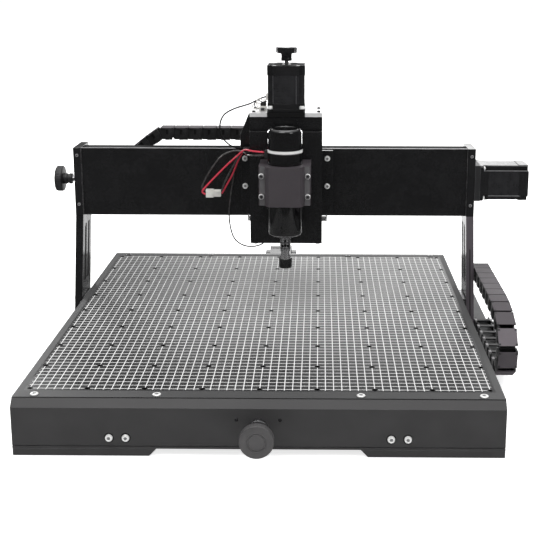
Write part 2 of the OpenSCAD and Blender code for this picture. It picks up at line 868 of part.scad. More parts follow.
// The plate inside the housing that holds the upper bearing, with the lower bearing in the bottom plate
module z_bearing_plate() {
    half = axis_half - z_side_t;
    cut_z = [z_bearing_z[0] - 1, z_bearing_z[1] + 1];
    color(dark_grey) difference() {
        box([axis_x - half, axis_x + half], [70, carriage_y[0]], z_bearing_z);
        bar_z(axis_x, z_axis_y, cut_z, bearing_d + 2 * seat_gap);
        for (s = [-1, 1]) bar_z(axis_x + s * rod_dx, rod_y, cut_z, rod_d + 2 * seat_gap);
    }
    color(steel) {
        translate([axis_x, z_axis_y, z_bearing_z[0] + 1]) bearing();
        translate([axis_x, z_axis_y, housing_z[0] + 1]) bearing();
    }
}

module at_z_motor() translate([axis_x, z_axis_y, housing_z[1] + z_top_t]) children();

module z_motor() color(black_anodised) at_z_motor() stepper(z_motor_l, z_motor_l);

// The sloped ear behind the carriage, its shelf to the chain, and the clip for the wires
module x_chain_bracket() {
    top = x_chain_start[1] + chain_h / 2;
    ear_low = beam_high + 3;
    color(black_anodised) {
        difference() {
            translate([0, carriage_y[1] + 3, 0]) rotate([90, 0, 0]) linear_extrude(3) polygon([
                [-33, 284], [-38, 284], [-52, 250], [-52, ear_low], [-44, ear_low], [-20, 236], [-20, 284]
            ]);
            box([-34, -19], [carriage_y[1] - 1, carriage_y[1] + 4], [ear_low - 1, ear_low + wrap_t]);
        }
        box([-52, -20], [carriage_y[1] + 3, x_chain_y], [top + 0.5, top + 3]);
        box([-51.5, -48.5], [x_chain_y - chain_w, x_chain_y], [top - chain_h, top + 0.5]);
    }
    color(white_nylon) box([-46, -36], [84, carriage_y[0]], [224, 232]);
}

module x_chain_upper() x_chain(0, len(x_chain_over));

// ---- Wiring ----

// The white two-pin plug and socket that hangs in the harness
module wire_connector() {
    size = connector_size;
    color(white_nylon) translate(connector) {
        translate([-size[0] / 2, -size[1] / 2, -size[2] / 2]) cube(size);
        translate([-2, -size[1] / 2 - 1, -2]) cube([size[0] / 2, 1.5, 4]);
    }
}

module z_motor_lead() color(wire_black) wire(z_motor_lead_route, thin_wire_d, 18);

module limit_switch_lead() color(wire_black) wire(limit_switch_route, thin_wire_d, 18);

module harness_wires() {
    color(wire_red) wire(harness_red_route, wire_d, 8);
    color(wire_black) wire(harness_black_route, wire_d, 8);
}

module spindle_wires() {
    color(wire_red) wire(spindle_red_route, wire_d, 14);
    color(wire_black) wire(spindle_black_route, wire_d, 14);
}

// ---- Z slide and spindle ----

module at_clamp_screws() {
    for (dx = [-34, 33.5], z = [177, 207.4]) {
        translate([axis_x + dx, clamp_flange, z]) rotate([90, 0, 0]) children();
    }
}

module z_slide_plate() {
    color(black_anodised) box([axis_x - axis_half, axis_x + axis_half], slide_plate_y, slide_plate_z);
}

// The block that rides on the rods, its two linear bearings and the nut
module z_carrier() {
    half = axis_half - z_side_t - 3;
    cut_z = [carrier_z[0] - 1, carrier_z[1] + 1];
    color(dark_grey) difference() {
        box([axis_x - half, axis_x + half], [slide_plate_y[1], carriage_y[0] - 2], carrier_z);
        for (s = [-1, 1]) bar_z(axis_x + s * rod_dx, rod_y, cut_z, linear_bearing_d + 2 * seat_gap);
        bar_z(axis_x, z_axis_y, cut_z, z_nut_d + 2 * seat_gap);
    }
    color(steel) for (s = [-1, 1]) difference() {
        bar_z(axis_x + s * rod_dx, rod_y, carrier_z, linear_bearing_d);
        bar_z(axis_x + s * rod_dx, rod_y, cut_z, rod_d + 2 * run_gap);
    }
    color(bronze) difference() {
        bar_z(axis_x, z_axis_y, carrier_z, z_nut_d);
        bar_z(axis_x, z_axis_y, cut_z, z_screw_d + 2 * run_gap);
    }
}

// The split clamp round the spindle, with its screws in the two side flanges
module spindle_clamp() {
    color(clamp_grey) difference() {
        translate([axis_x, 0, clamp_z[0]]) linear_extrude(clamp_z[1] - clamp_z[0]) {
            for (s = [-1, 1]) polygon([
                [0, slide_plate_y[0]], [s * clamp_half, slide_plate_y[0]],
                [s * clamp_half, clamp_flange + 3],
                [s * (clamp_half - 1.5), clamp_flange], [s * (clamp_core + 7), clamp_flange],
                [s * (clamp_core + 4), clamp_front + 4], [s * clamp_core, clamp_front], [0, clamp_front]
            ]);
        }
        bar_z(axis_x, spindle_y, [clamp_z[0] - 1, clamp_z[1] + 1], spindle_d + 2 * seat_gap);
        at_clamp_screws() screw_hole(5, 12);
    }
    color(silver) at_clamp_screws() screw(8, 4, 5, 12);
}

module spindle_body() {
    r = spindle_d / 2;
    low = body_z[0];
    color(gloss_black) difference() {
        translate([axis_x, spindle_y, 0]) rotate_extrude($fn = 96) polygon([
            [0, shaft_z[1]], [14, shaft_z[1]], [17, low - 1], [22, low - 1],
            [r - 1, low + 1], [r, low + 4], [r, body_z[1]], [0, body_z[1]]
        ]);
        bar_z(axis_x, spindle_y, [shaft_z[1] - 1, body_z[0] + 40], spindle_shaft_d + 2 * run_gap);
    }
}

module spindle_ring() {
    color(silver) translate([axis_x, spindle_y, 0]) rotate_extrude($fn = 96) polygon([
        [0, ring_z[0]], [spindle_d / 2 - 0.5, ring_z[0]], [spindle_d / 2, ring_z[0] + 0.5],
        [spindle_d / 2, ring_z[1] - 0.5], [spindle_d / 2 - 0.5, ring_z[1]], [0, ring_z[1]]
    ]);
}

// The glossy cap on top, with the small gland that the two wires go into
module spindle_cap() {
    r = spindle_d / 2;
    color(gloss_black) {
        translate([axis_x, spindle_y, 0]) rotate_extrude($fn = 96) polygon([
            [0, cap_z[0]], [r, cap_z[0]], [r, cap_z[1] - 3],
            [r - 1, cap_z[1] - 1], [r - 3, cap_z[1]], [0, cap_z[1]]
        ]);
        difference() {
            box([axis_x - r - 4, axis_x - r + 3], [spindle_y - 5, spindle_y + 8], gland_z);
            bar_z(axis_x, spindle_y, [gland_z[0] - 1, gland_z[1] + 1], spindle_d + 2 * seat_gap);
        }
    }
}

// ---- Turning parts ----

// A hollow coupler along +Z that grips a screw's journal and a motor's shaft
module coupler() {
    difference() {
        cylinder(d = coupler_d, h = coupler_l, $fn = 64);
        translate([0, 0, -1]) cylinder(d = journal_d + 2 * seat_gap, h = coupler_l / 2 + 1, $fn = 48);
        translate([0, 0, coupler_l / 2 - 1]) {
            cylinder(d = motor_shaft_d + 2 * seat_gap, h = coupler_l / 2 + 2, $fn = 48);
        }
    }
}

// A leadscrew along +Z from z = 0: front journal, thread, rear journal, coupler and motor shaft.
// lengths = [front journal, thread, rear journal, coupler start, shaft start, shaft end]
module drive_line(d, lengths) {
    thread_end = lengths[0] + lengths[1];
    color(steel) {
        cylinder(d = journal_d, h = lengths[0], $fn = 48);
        translate([0, 0, lengths[0]]) cylinder(d = d, h = lengths[1], $fn = 64);
        translate([0, 0, thread_end]) cylinder(d = journal_d, h = lengths[2], $fn = 48);
        translate([0, 0, lengths[4]]) cylinder(d = motor_shaft_d, h = lengths[5] - lengths[4], $fn = 48);
    }
    color(silver) translate([0, 0, lengths[3]]) coupler();
}

module y_leadscrew() {
    start = y_wheel_front + wheel_t / 2;
    thread = [y_bearing_y[0][1] + 1, y_bearing_y[1][0] - 1];
    shaft_start = rear_panel_y - motor_shaft_l;
    translate([0, start, y_axis_z]) rotate([-90, 0, 0]) drive_line(screw_d, [
        thread[0] - start, thread[1] - thread[0], shaft_start - 1 - thread[1],
        shaft_start - coupler_l / 2 - start, shaft_start - start, rear_panel_y + 10 - start
    ]);
}

module y_handwheel() {
    color(black_anodised) translate([0, y_wheel_front, y_axis_z]) rotate([-90, 0, 0]) {
        handwheel(wheel_d, wheel_t, hub_d, hub_l, journal_d);
    }
}

module x_leadscrew() {
    start = x_wheel_left + wheel_t / 2;
    thread = [-plate_in + 2, x_housing_x[0] - 1];
    mount_out = plate_out + mount_t;
    shaft_start = mount_out - motor_shaft_l;
    translate([start, x_axis_y, x_axis_z]) rotate([0, 90, 0]) drive_line(screw_d, [
        thread[0] - start, thread[1] - thread[0], shaft_start - 1 - thread[1],
        shaft_start - coupler_l / 2 - start, shaft_start - start, mount_out + 10 - start
    ]);
}

module x_handwheel() {
    color(black_anodised) translate([x_wheel_left, x_axis_y, x_axis_z]) rotate([0, 90, 0]) {
        handwheel(wheel_d, wheel_t, hub_d, hub_l, journal_d);
    }
}

module z_leadscrew() {
    start = housing_z[0] + 2;
    thread = [housing_z[0] + z_bottom_t + 1, z_bearing_z[0] - 1];
    motor_face = housing_z[1] + z_top_t;
    shaft_start = motor_face - motor_shaft_l;
    translate([axis_x, z_axis_y, start]) drive_line(z_screw_d, [
        thread[0] - start, thread[1] - thread[0], shaft_start - 1 - thread[1],
        shaft_start - coupler_l / 2 - start, shaft_start - start, knob_z[0] + 4 - start
    ]);
}

module z_knob() {
    knob_t = knob_z[1] - knob_z[0];
    color(black_anodised) translate([axis_x, z_axis_y, knob_z[1]]) rotate([180, 0, 0]) {
        handwheel(knob_d, knob_t, hub_d, knob_hub_l, motor_shaft_d);
    }
}

// The shaft, with two flats for a spanner above the nut
module spindle_shaft() {
    r = spindle_shaft_d / 2;
    color(steel) translate([axis_x, spindle_y, 0]) difference() {
        translate([0, 0, shaft_z[0]]) cylinder(r = r, h = body_z[0] + 38 - shaft_z[0], $fn = 64);
        for (s = [-1, 1]) translate([s * r, 0, 85]) cube([3.3, 2 * r, 10], center = true);
        translate([0, 0, shaft_z[0] - 1]) cylinder(d = 9, h = 16, $fn = 48);
        translate([0, 0, 100]) rotate([90, 0, 0]) cylinder(d = 4, h = 2 * r + 2, center = true, $fn = 32);
    }
}

module collet() {
    color(steel) translate([axis_x, spindle_y, collet_z[0] + 1]) difference() {
        union() {
            cylinder(d = 8, h = 6, $fn = 48);
            translate([0, 0, 6]) cylinder(d = 8.9, h = 18, $fn = 48);
        }
        translate([0, 0, -1]) cylinder(d = tool_shank_d, h = 26, $fn = 48);
    }
}

module collet_nut() {
    color(gloss_black) translate([axis_x, spindle_y, 0]) difference() {
        union() {
            translate([0, 0, collet_z[0] + 1]) {
                cylinder(d = collet_nut_d, h = collet_z[1] - collet_z[0] - 1, $fn = 64);
            }
            translate([0, 0, collet_z[0]]) {
                cylinder(d1 = collet_nut_d - 2, d2 = collet_nut_d, h = 1, $fn = 64);
            }
        }
        translate([0, 0, collet_z[0] - 1]) cylinder(d = 9 + 2 * run_gap, h = collet_z[1], $fn = 48);
        for (a = [0 : 60 : 300]) rotate([0, 0, a]) {
            translate([collet_nut_d / 2, 0, collet_z[0] - 1]) cylinder(d = 3, h = 9, $fn = 24);
        }
    }
}

translate([-(box_left + box_right) / 2, -(box_front + box_rear) / 2, table_h]) {
    table_plate();
    front_panel();
    rear_panel();
    bed_frame();
    feet();
    y_rails();
    y_bearing_units();
    y_motor();
    bed_screws();
    y_chain_tray();
    y_chain_lower();
    left_gantry_plate();
    right_gantry_plate();
    x_beam();
    front_cover();
    lower_crossbar();
    y_nut_block();
    y_bearing_blocks();
    gantry_screws();
    x_rails();
    x_bearing_units();
    x_motor_mount();
    x_motor();
    x_chain_tray();
    x_chain_lower();
    y_chain_bracket();
    y_chain_upper();
    carriage_plate();
    wrap_brackets();
    x_saddle();
    x_bearing_blocks();
    x_nut_block();
    carriage_screws();
    z_housing();
    z_top_plate();
    z_guide_rods();
    z_bearing_plate();
    z_motor();
    x_chain_bracket();
    x_chain_upper();
    wire_connector();
    z_motor_lead();
    harness_wires();
    limit_switch_lead();
    z_slide_plate();
    z_carrier();
    spindle_clamp();
    spindle_body();
    spindle_ring();
    spindle_cap();
    spindle_wires();
    y_leadscrew();
    y_handwheel();
    x_leadscrew();
    x_handwheel();
    z_leadscrew();
    z_knob();
    spindle_shaft();
    collet();
    collet_nut();
}
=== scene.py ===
"""Bench-top CNC router: looks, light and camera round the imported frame."""
import math

import bmesh
import bpy
from mathutils import Matrix, Vector
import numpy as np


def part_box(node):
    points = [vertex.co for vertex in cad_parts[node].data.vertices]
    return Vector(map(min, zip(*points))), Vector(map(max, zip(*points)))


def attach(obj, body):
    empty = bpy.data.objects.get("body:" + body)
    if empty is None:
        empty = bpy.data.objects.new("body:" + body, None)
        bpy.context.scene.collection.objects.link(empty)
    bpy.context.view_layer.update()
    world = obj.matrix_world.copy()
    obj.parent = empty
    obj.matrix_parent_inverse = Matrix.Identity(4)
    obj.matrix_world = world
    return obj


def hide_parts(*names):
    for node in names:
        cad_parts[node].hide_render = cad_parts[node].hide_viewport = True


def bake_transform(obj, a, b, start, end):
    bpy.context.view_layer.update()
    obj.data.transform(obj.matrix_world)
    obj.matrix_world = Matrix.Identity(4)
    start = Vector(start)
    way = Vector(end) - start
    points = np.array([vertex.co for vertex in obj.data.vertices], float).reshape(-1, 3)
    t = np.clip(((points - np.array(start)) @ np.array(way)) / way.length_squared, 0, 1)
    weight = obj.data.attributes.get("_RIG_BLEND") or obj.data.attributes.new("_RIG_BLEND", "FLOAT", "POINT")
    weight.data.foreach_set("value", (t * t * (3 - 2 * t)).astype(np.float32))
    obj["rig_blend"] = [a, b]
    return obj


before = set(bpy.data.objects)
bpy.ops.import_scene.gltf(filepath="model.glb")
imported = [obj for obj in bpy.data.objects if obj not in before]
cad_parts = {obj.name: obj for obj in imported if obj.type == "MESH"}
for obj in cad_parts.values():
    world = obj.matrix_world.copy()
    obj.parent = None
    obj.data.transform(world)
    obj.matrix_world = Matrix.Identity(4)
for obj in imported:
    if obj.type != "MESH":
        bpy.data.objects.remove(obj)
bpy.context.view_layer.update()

MM = 0.001
TABLE_FRONT = -305
AXIS_X = 21  # the carriage's middle, with the spindle and the Z screw
SPINDLE_Y, Z_SCREW_Y = 15, 88.5
Y_SCREW_Z = -35
X_SCREW_Y, X_SCREW_Z = 145, 171
# A gantry plate's front edge is upright above the knee and leans back below it
LEG_FRONT_Y, KNEE_Z, LEG_LEAN = 117, 117, 0.2377
WELD_DISTANCE = 0.000005
FLAT_ANGLE, CREASE_ANGLE = math.radians(0.4), math.radians(32)
table_low, table_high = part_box("table_plate")
ORIGIN = Vector(((table_low.x + table_high.x) / 2, table_low.y - TABLE_FRONT * MM, table_high.z))
scene = bpy.context.scene


def at(x, y, z):
    """A point in the bed's millimetres as a point in the row frame."""
    return ORIGIN + Vector((x, y, z)) * MM


# ---- Camera ----

YAW, PITCH, ROLL = math.radians(0.475), math.radians(11.537), math.radians(0.126)
CAMERA_SPOT = (72.6, -1380.5, 495.7)
LENS, SHIFT = 65.42, (-0.086, -0.1789)
forward = Vector((-math.sin(YAW) * math.cos(PITCH), math.cos(YAW) * math.cos(PITCH), -math.sin(PITCH)))
level = Vector((math.cos(YAW), math.sin(YAW), 0))
upright = level.cross(forward)
right = level * math.cos(ROLL) + upright * math.sin(ROLL)
above = upright * math.cos(ROLL) - level * math.sin(ROLL)
camera = bpy.data.objects.new("camera", bpy.data.cameras.new("camera"))
scene.collection.objects.link(camera)
turned = Matrix((right, above, -forward)).transposed().to_4x4()
camera.matrix_world = Matrix.Translation(at(*CAMERA_SPOT)) @ turned
camera.data.lens = LENS
camera.data.shift_x, camera.data.shift_y = SHIFT
scene.camera = camera


# ---- Materials ----

def add_node(tree, kind, **values):
    n = tree.nodes.new(kind)
    for key, value in values.items():
        n.inputs[key].default_value = value
    return n


def maths(tree, operation, *values):
    """A maths node on numbers and on other nodes' outputs."""
    n = tree.nodes.new("ShaderNodeMath")
    n.operation = operation
    for socket, value in zip(n.inputs, values):
        if isinstance(value, (int, float)):
            socket.default_value = value
        else:
            tree.links.new(value, socket)
    return n.outputs[0]


def mapped(tree, source, low, high, start, stop, easing="LINEAR"):
    """A value that goes from start to stop as the source goes from low to high."""
    n = tree.nodes.new("ShaderNodeMapRange")
    n.interpolation_type = easing
    for key, value in zip(("From Min", "From Max", "To Min", "To Max"), (low, high, start, stop)):
        n.inputs[key].default_value = value
    tree.links.new(source, n.inputs["Value"])
    return n.outputs["Result"]


def surface(name, dark, light, rough, metallic=0.0, blotch=30, grain=2600, bump=0.12, stretch=(1, 1, 1),
            specular=0.5, coat=0.0):
    """A finish whose colour drifts from dark to light, with roughness and bump from a finer grain."""
    made = bpy.data.materials.new(name)
    made.use_nodes = True
    tree = made.node_tree
    link = tree.links.new
    shader = tree.nodes["Principled BSDF"].inputs
    shader["Metallic"].default_value = metallic
    shader["Specular IOR Level"].default_value = specular
    shader["Coat Weight"].default_value = coat
    shader["Coat Roughness"].default_value = 0.05

    place = add_node(tree, "ShaderNodeTexCoord").outputs["Object"]
    turned = add_node(tree, "ShaderNodeMapping", Scale=stretch)
    link(place, turned.inputs["Vector"])
    drift = add_node(tree, "ShaderNodeTexNoise", Scale=blotch, Detail=5.0, Roughness=0.6)
    fine = add_node(tree, "ShaderNodeTexNoise", Scale=grain, Detail=3.0, Roughness=0.65)
    link(place, drift.inputs["Vector"])
    link(turned.outputs["Vector"], fine.inputs["Vector"])
    half = maths(tree, "MULTIPLY", drift.outputs["Fac"], 0.55)
    both = maths(tree, "MULTIPLY_ADD", fine.outputs["Fac"], 0.45, half)

    ramp = add_node(tree, "ShaderNodeValToRGB")
    for stop, position, colour in zip(ramp.color_ramp.elements, (0.34, 0.68), (dark, light)):
        stop.position = position
        stop.color = (*colour, 1)
    link(both, ramp.inputs["Fac"])
    link(ramp.outputs["Color"], shader["Base Color"])
    link(mapped(tree, both, 0.35, 0.65, *rough), shader["Roughness"])

    raised = add_node(tree, "ShaderNodeBump", Strength=bump, Distance=0.0002)
    link(fine.outputs["Fac"], raised.inputs["Height"])
    link(raised.outputs["Normal"], shader["Normal"])
    return made


BLACK = surface("black_anodised", (0.006, 0.006, 0.0065), (0.011, 0.011, 0.012), (0.20, 0.32))
# A paler copy of the black for rounded edges and the Z motor's side lines: a painted highlight
BLACK_EDGE_HIGHLIGHT = surface("black_painted_edge_highlight", (0.045, 0.045, 0.048), (0.085, 0.085, 0.09), (0.24, 0.36), bump=0.05)
PANEL = surface("panel_anodised", (0.034, 0.033, 0.034), (0.044, 0.043, 0.044), (0.42, 0.55))
# A paler copy of the panel's grey for its rounded edges: a painted highlight
PANEL_EDGE_HIGHLIGHT = surface("panel_painted_edge_highlight", (0.11, 0.108, 0.112), (0.16, 0.155, 0.16), (0.25, 0.4), bump=0.05)
TABLE = surface("table_anodised", (0.008, 0.008, 0.0085), (0.014, 0.014, 0.015), (0.24, 0.36), blotch=9,
                grain=1500, bump=0.08, stretch=(1, 0.12, 1), specular=0.6)
BORDER = surface("table_border", (0.036, 0.036, 0.037), (0.050, 0.050, 0.051), (0.5, 0.65), blotch=20, grain=2000,
                 bump=0.1)
TABLE_LINE = surface("table_line", (0.72, 0.72, 0.72), (0.92, 0.92, 0.91), (0.4, 0.6), blotch=60, grain=1200,
                     bump=0.1)
# Pale grey metal: on rounded edges it is a painted highlight, on the gantry's edge screws it is their own grey
GREY_METAL_AND_EDGE_HIGHLIGHT = surface("grey_metal_and_painted_edge_highlight", (0.34, 0.33, 0.34), (0.48, 0.47, 0.48), (0.22, 0.32), metallic=0.5,
                      bump=0.05)
LEG = surface("leg_anodised", (0.008, 0.008, 0.0085), (0.014, 0.014, 0.015), (0.16, 0.28), bump=0.06,
              specular=0.35)
# A paler copy of the legs' black for the right leg's lower front face: painted light
RIGHT_LEG_PAINTED_LIGHT = surface("right_leg_painted_light", (0.070, 0.060, 0.069), (0.100, 0.087, 0.099), (0.36, 0.48), blotch=20,
                    grain=2200, bump=0.1, stretch=(1, 1, 0.1))
WHEEL = surface("wheel_anodised", (0.062, 0.060, 0.061), (0.086, 0.083, 0.085), (0.34, 0.48), blotch=60,
                grain=2400)
MATT = surface("matt_black", (0.006, 0.006, 0.006), (0.010, 0.010, 0.0105), (0.65, 0.8), specular=0.15)
CLAMP = surface("clamp_anodised", (0.045, 0.038, 0.044), (0.062, 0.053, 0.060), (0.42, 0.52))
# A paler copy of the clamp's finish for its flanges' front faces: painted light
CLAMP_FLANGE_PAINTED_LIGHT = surface("clamp_flange", (0.085, 0.082, 0.086), (0.12, 0.116, 0.121), (0.4, 0.5))
# A paler copy of the clamp's finish for its rounded edges: a painted highlight
CLAMP_EDGE_HIGHLIGHT = surface("clamp_painted_edge_highlight", (0.12, 0.11, 0.12), (0.19, 0.175, 0.19), (0.3, 0.4), bump=0.05)
GLOSS = surface("gloss_black", (0.0025, 0.0025, 0.0027), (0.0045, 0.0045, 0.005), (0.06, 0.12), blotch=60,
                grain=1800, bump=0.02, stretch=(0.05, 0.05, 1), coat=0.6)
DARK = surface("dark_aluminium", (0.014, 0.014, 0.015), (0.024, 0.024, 0.026), (0.36, 0.5), grain=2200)
MOTOR = surface("motor_black", (0.007, 0.007, 0.0075), (0.013, 0.013, 0.014), (0.13, 0.22), grain=2200, bump=0.18)
# Mid grey: painted highlights along the X motor's sides, and painted shade in the bright screws' sockets
MOTOR_HIGHLIGHT_AND_SOCKET_SHADE = surface("motor_highlight_and_socket_shade", (0.16, 0.16, 0.165), (0.26, 0.26, 0.265), (0.30, 0.4), grain=2200, bump=0.05)
STACK, STACK_X, STACK_Y = (
    surface("motor_stack" + tail, (0.010, 0.010, 0.011), (0.022, 0.022, 0.024), (0.16, 0.26), blotch=80,
            grain=1600, bump=0.10, stretch=stretch)
    for tail, stretch in (("", (0.03, 0.03, 1)), ("_x", (1, 0.03, 0.03)), ("_y", (0.03, 1, 0.03))))
STEEL = surface("bright_steel", (0.50, 0.50, 0.51), (0.68, 0.68, 0.69), (0.14, 0.28), metallic=1.0, blotch=50,
                grain=1700, bump=0.06, stretch=(0.04, 0.04, 1))
STEEL_Y, STEEL_X = (
    surface("bright_steel" + tail, (0.42, 0.42, 0.43), (0.60, 0.60, 0.61), (0.2, 0.34), metallic=1.0, blotch=50,
            grain=1700, bump=0.08, stretch=stretch)
    for tail, stretch in (("_y", (1, 0.04, 1)), ("_x", (0.04, 1, 1))))
SILVER = surface("silver_screw", (0.80, 0.80, 0.79), (0.93, 0.93, 0.92), (0.3, 0.42), metallic=0.25, blotch=160,
                 bump=0.1)
SILVER_PLATE = surface("silver_plate", (0.74, 0.74, 0.74), (0.88, 0.88, 0.88), (0.26, 0.38), metallic=0.35,
                       blotch=40, grain=1500, bump=0.1, stretch=(0.06, 1, 1))
BRONZE = surface("bronze", (0.45, 0.29, 0.10), (0.66, 0.44, 0.18), (0.25, 0.4), metallic=1.0, blotch=120,
                 grain=1500)
# The lids get a paler copy of the black nylon, painted light for the upper run's lids that face up, and one lid
# gets a paler one still, a painted highlight
NYLON, NYLON_LID_PAINTED_LIGHT, NYLON_PAINTED_HIGHLIGHT = (
    surface("black_nylon" + tail, dark, light, rough, blotch=70, grain=1400, bump=0.3)
    for tail, dark, light, rough in (
        ("", (0.013, 0.013, 0.014), (0.024, 0.024, 0.025), (0.42, 0.6)),
        ("_lid_painted_light", (0.052, 0.044, 0.051), (0.070, 0.060, 0.068), (0.5, 0.64)),
        ("_painted_highlight", (0.110, 0.095, 0.107), (0.142, 0.124, 0.138), (0.38, 0.5))))
NYLON_WORN = surface("black_nylon_worn", (0.20, 0.19, 0.20), (0.42, 0.41, 0.42), (0.35, 0.5), blotch=90,
                     grain=1400, bump=0.2)
WHITE = surface("white_nylon", (0.66, 0.64, 0.60), (0.80, 0.79, 0.76), (0.32, 0.45), blotch=90, grain=1300,
                bump=0.15)
RED = surface("red_wire", (0.55, 0.030, 0.058), (0.72, 0.050, 0.090), (0.3, 0.42), blotch=200, grain=1600,
              bump=0.15, coat=0.2)
WIRE = surface("black_wire", (0.040, 0.038, 0.038), (0.070, 0.067, 0.067), (0.22, 0.34), blotch=200, grain=1600,
               bump=0.15, coat=0.5)


# ---- Mesh helpers, in the bed's millimetres ----

def skin(rings, sides):
    """The faces between rings of points that follow one another, and one face at each end."""
    faces = []
    for k in range(rings - 1):
        for i in range(sides):
            j = (i + 1) % sides
            faces.append((k * sides + i, k * sides + j, (k + 1) * sides + j, (k + 1) * sides + i))
    return faces + [list(range(sides))[::-1], [(rings - 1) * sides + i for i in range(sides)]]


class Shape:
    """Closed solids that become one piece. slot is the index of a solid's material in the piece."""

    def __init__(self):
        self.points, self.faces, self.slots = [], [], []

    def add(self, points, faces, slot=0, place=None):
        base = len(self.points)
        self.points += [place @ Vector(p) if place else Vector(p) for p in points]
        self.faces += [[base + i for i in face] for face in faces]
        self.slots += [slot] * len(faces)
        return self

    def box(self, x, y, z, slot=0, place=None):
        points = [(a, b, c) for a in x for b in y for c in z]
        faces = [(0, 1, 3, 2), (4, 6, 7, 5), (0, 4, 5, 1), (2, 3, 7, 6), (0, 2, 6, 4), (1, 5, 7, 3)]
        return self.add(points, faces, slot, place)

    def prism(self, outline, low, high, slot=0, place=None):
        """An outline in XY, raised from z = low to z = high."""
        n = len(outline)
        points = [(x, y, low) for x, y in outline] + [(x, y, high) for x, y in outline]
        faces = [list(range(n))[::-1], list(range(n, 2 * n))]
        faces += [(i, (i + 1) % n, n + (i + 1) % n, n + i) for i in range(n)]
        return self.add(points, faces, slot, place)

    def lathe(self, profile, sides=64, slot=0, place=None, closed=False):
        """A profile of (radius, z) turned about Z. A third value makes that ring a polygon of so many sides.
        A closed profile makes a ring with an open middle."""
        points, faces, rings = [], [], []
        for step in profile:
            radius, z, corners = (*step, 0)[:3]
            if radius == 0:
                rings.append([len(points)])
                points.append((0, 0, z))
                continue
            rings.append(list(range(len(points), len(points) + sides)))
            for i in range(sides):
                a = 2 * math.pi * i / sides
                r = radius
                if corners:
                    part = 2 * math.pi / corners
                    r = radius / math.cos((a % part) - part / 2)
                points.append((r * math.cos(a), r * math.sin(a), z))
        for one, two in zip(rings, rings[1:] + rings[:closed]):
            for i in range(sides):
                j = (i + 1) % sides
                if len(one) == 1:
                    faces.append((one[0], two[j], two[i]))
                elif len(two) == 1:
                    faces.append((one[i], one[j], two[0]))
                else:
                    faces.append((one[i], one[j], two[j], two[i]))
        if not closed:
            faces += [end for end in (rings[0][::-1], rings[-1]) if len(end) > 1]
        return self.add(points, faces, slot, place)

    def tube(self, path, radius, sides=12, slot=0, place=None):
        """A round bar along a path, with flat ends."""
        points = []
        side = None
        for i, p in enumerate(path):
            ahead = (Vector(path[min(i + 1, len(path) - 1)]) - Vector(path[max(i - 1, 0)])).normalized()
            if side is None:
                side = ahead.orthogonal().normalized()
            side = (side - ahead * side.dot(ahead)).normalized()
            up = ahead.cross(side)
            for k in range(sides):
                a = 2 * math.pi * k / sides
                points.append(Vector(p) + (side * math.cos(a) + up * math.sin(a)) * radius)
        return self.add(points, skin(len(path), sides), slot, place)


def dress(obj, materials):
    """Gives a piece its materials."""
    obj.data.materials.clear()
    for m in materials:
        obj.data.materials.append(m)


def soften(obj, width, edge_slot):
    """Rounds the sharp edges, and gives the rounding its own material when the piece has one."""
    bevel = obj.modifiers.new("bevel", "BEVEL")
    bevel.width = width * MM
    bevel.segments = 2
    bevel.limit_method = "ANGLE"
    bevel.angle_limit = CREASE_ANGLE
    bevel.harden_normals = True
    bevel.material = edge_slot
    bevel.use_clamp_overlap = True


def edge_index(materials):
    """A piece's last material is its edges', when it has more than one."""
    return len(materials) - 1 if len(materials) > 1 else -1


def build(name, shape, materials, body=None, stands_for=(), bevel=0.0, edge_slot=-1):
    """Makes a piece from a shape, with rounded edges and smooth curves."""
    mesh = bpy.data.meshes.new(name)
    mesh.from_pydata([ORIGIN + p * MM for p in shape.points], [], shape.faces)
    work = bmesh.new()
    work.from_mesh(mesh)
    bmesh.ops.recalc_face_normals(work, faces=work.faces)
    for face in work.faces:
        face.smooth = True
    if not bevel:
        for edge in work.edges:
            if len(edge.link_faces) == 2 and edge.calc_face_angle(0) > CREASE_ANGLE:
                edge.smooth = False
    work.to_mesh(mesh)
    work.free()
    obj = bpy.data.objects.new(name, mesh)
    scene.collection.objects.link(obj)
    dress(obj, materials)
    mesh.polygons.foreach_set("material_index", shape.slots)
    if bevel:
        soften(obj, bevel, edge_slot)
    if body:
        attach(obj, body)
    if stands_for:
        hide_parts(*stands_for)
    return obj


def carry(node, materials, bevel=0.4):
    """Keeps a CAD node, with its seams joined, its edges rounded and a finish."""
    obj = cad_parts[node]
    dress(obj, materials)
    mesh = obj.data
    shading = ("custom_normal", "sharp_edge", "sharp_face")
    for attribute in [a.name for a in mesh.attributes if a.name in shading]:
        mesh.attributes.remove(mesh.attributes[attribute])
    mesh.polygons.foreach_set("use_smooth", [True] * len(mesh.polygons))
    mesh.polygons.foreach_set("material_index", [0] * len(mesh.polygons))
    weld = obj.modifiers.new("weld", "WELD")
    weld.merge_threshold = WELD_DISTANCE
    flat = obj.modifiers.new("flat", "DECIMATE")
    flat.decimate_type = "DISSOLVE"
    flat.angle_limit = FLAT_ANGLE
    soften(obj, bevel, edge_index(materials))
    return obj


def turn_to(direction):
    """The turn that takes +Z to a direction."""
    return Vector((0, 0, 1)).rotation_difference(Vector(direction)).to_matrix().to_4x4()


def placed(x, y, z, direction=(0, 0, 1)):
    """A place whose own Z points in a direction."""
    return Matrix.Translation((x, y, z)) @ turn_to(direction)


def smooth_route(route, per_span):
    """Points on the smooth curve through a route, as part.scad's wires follow it."""
    n = len(route)
    points = []
    for k in range((n - 1) * per_span + 1):
        i = min(k // per_span, n - 2)
        f = k / per_span - i
        a, b, c, d = (Vector(route[j]) for j in (max(i - 1, 0), i, i + 1, min(i + 2, n - 1)))
        points.append(0.5 * (2 * b + (c - a) * f + (2 * a - 5 * b + 4 * c - d) * f ** 2
                             + (3 * b - a - 3 * c + d) * f ** 3))
    return points


# ---- Cords ----

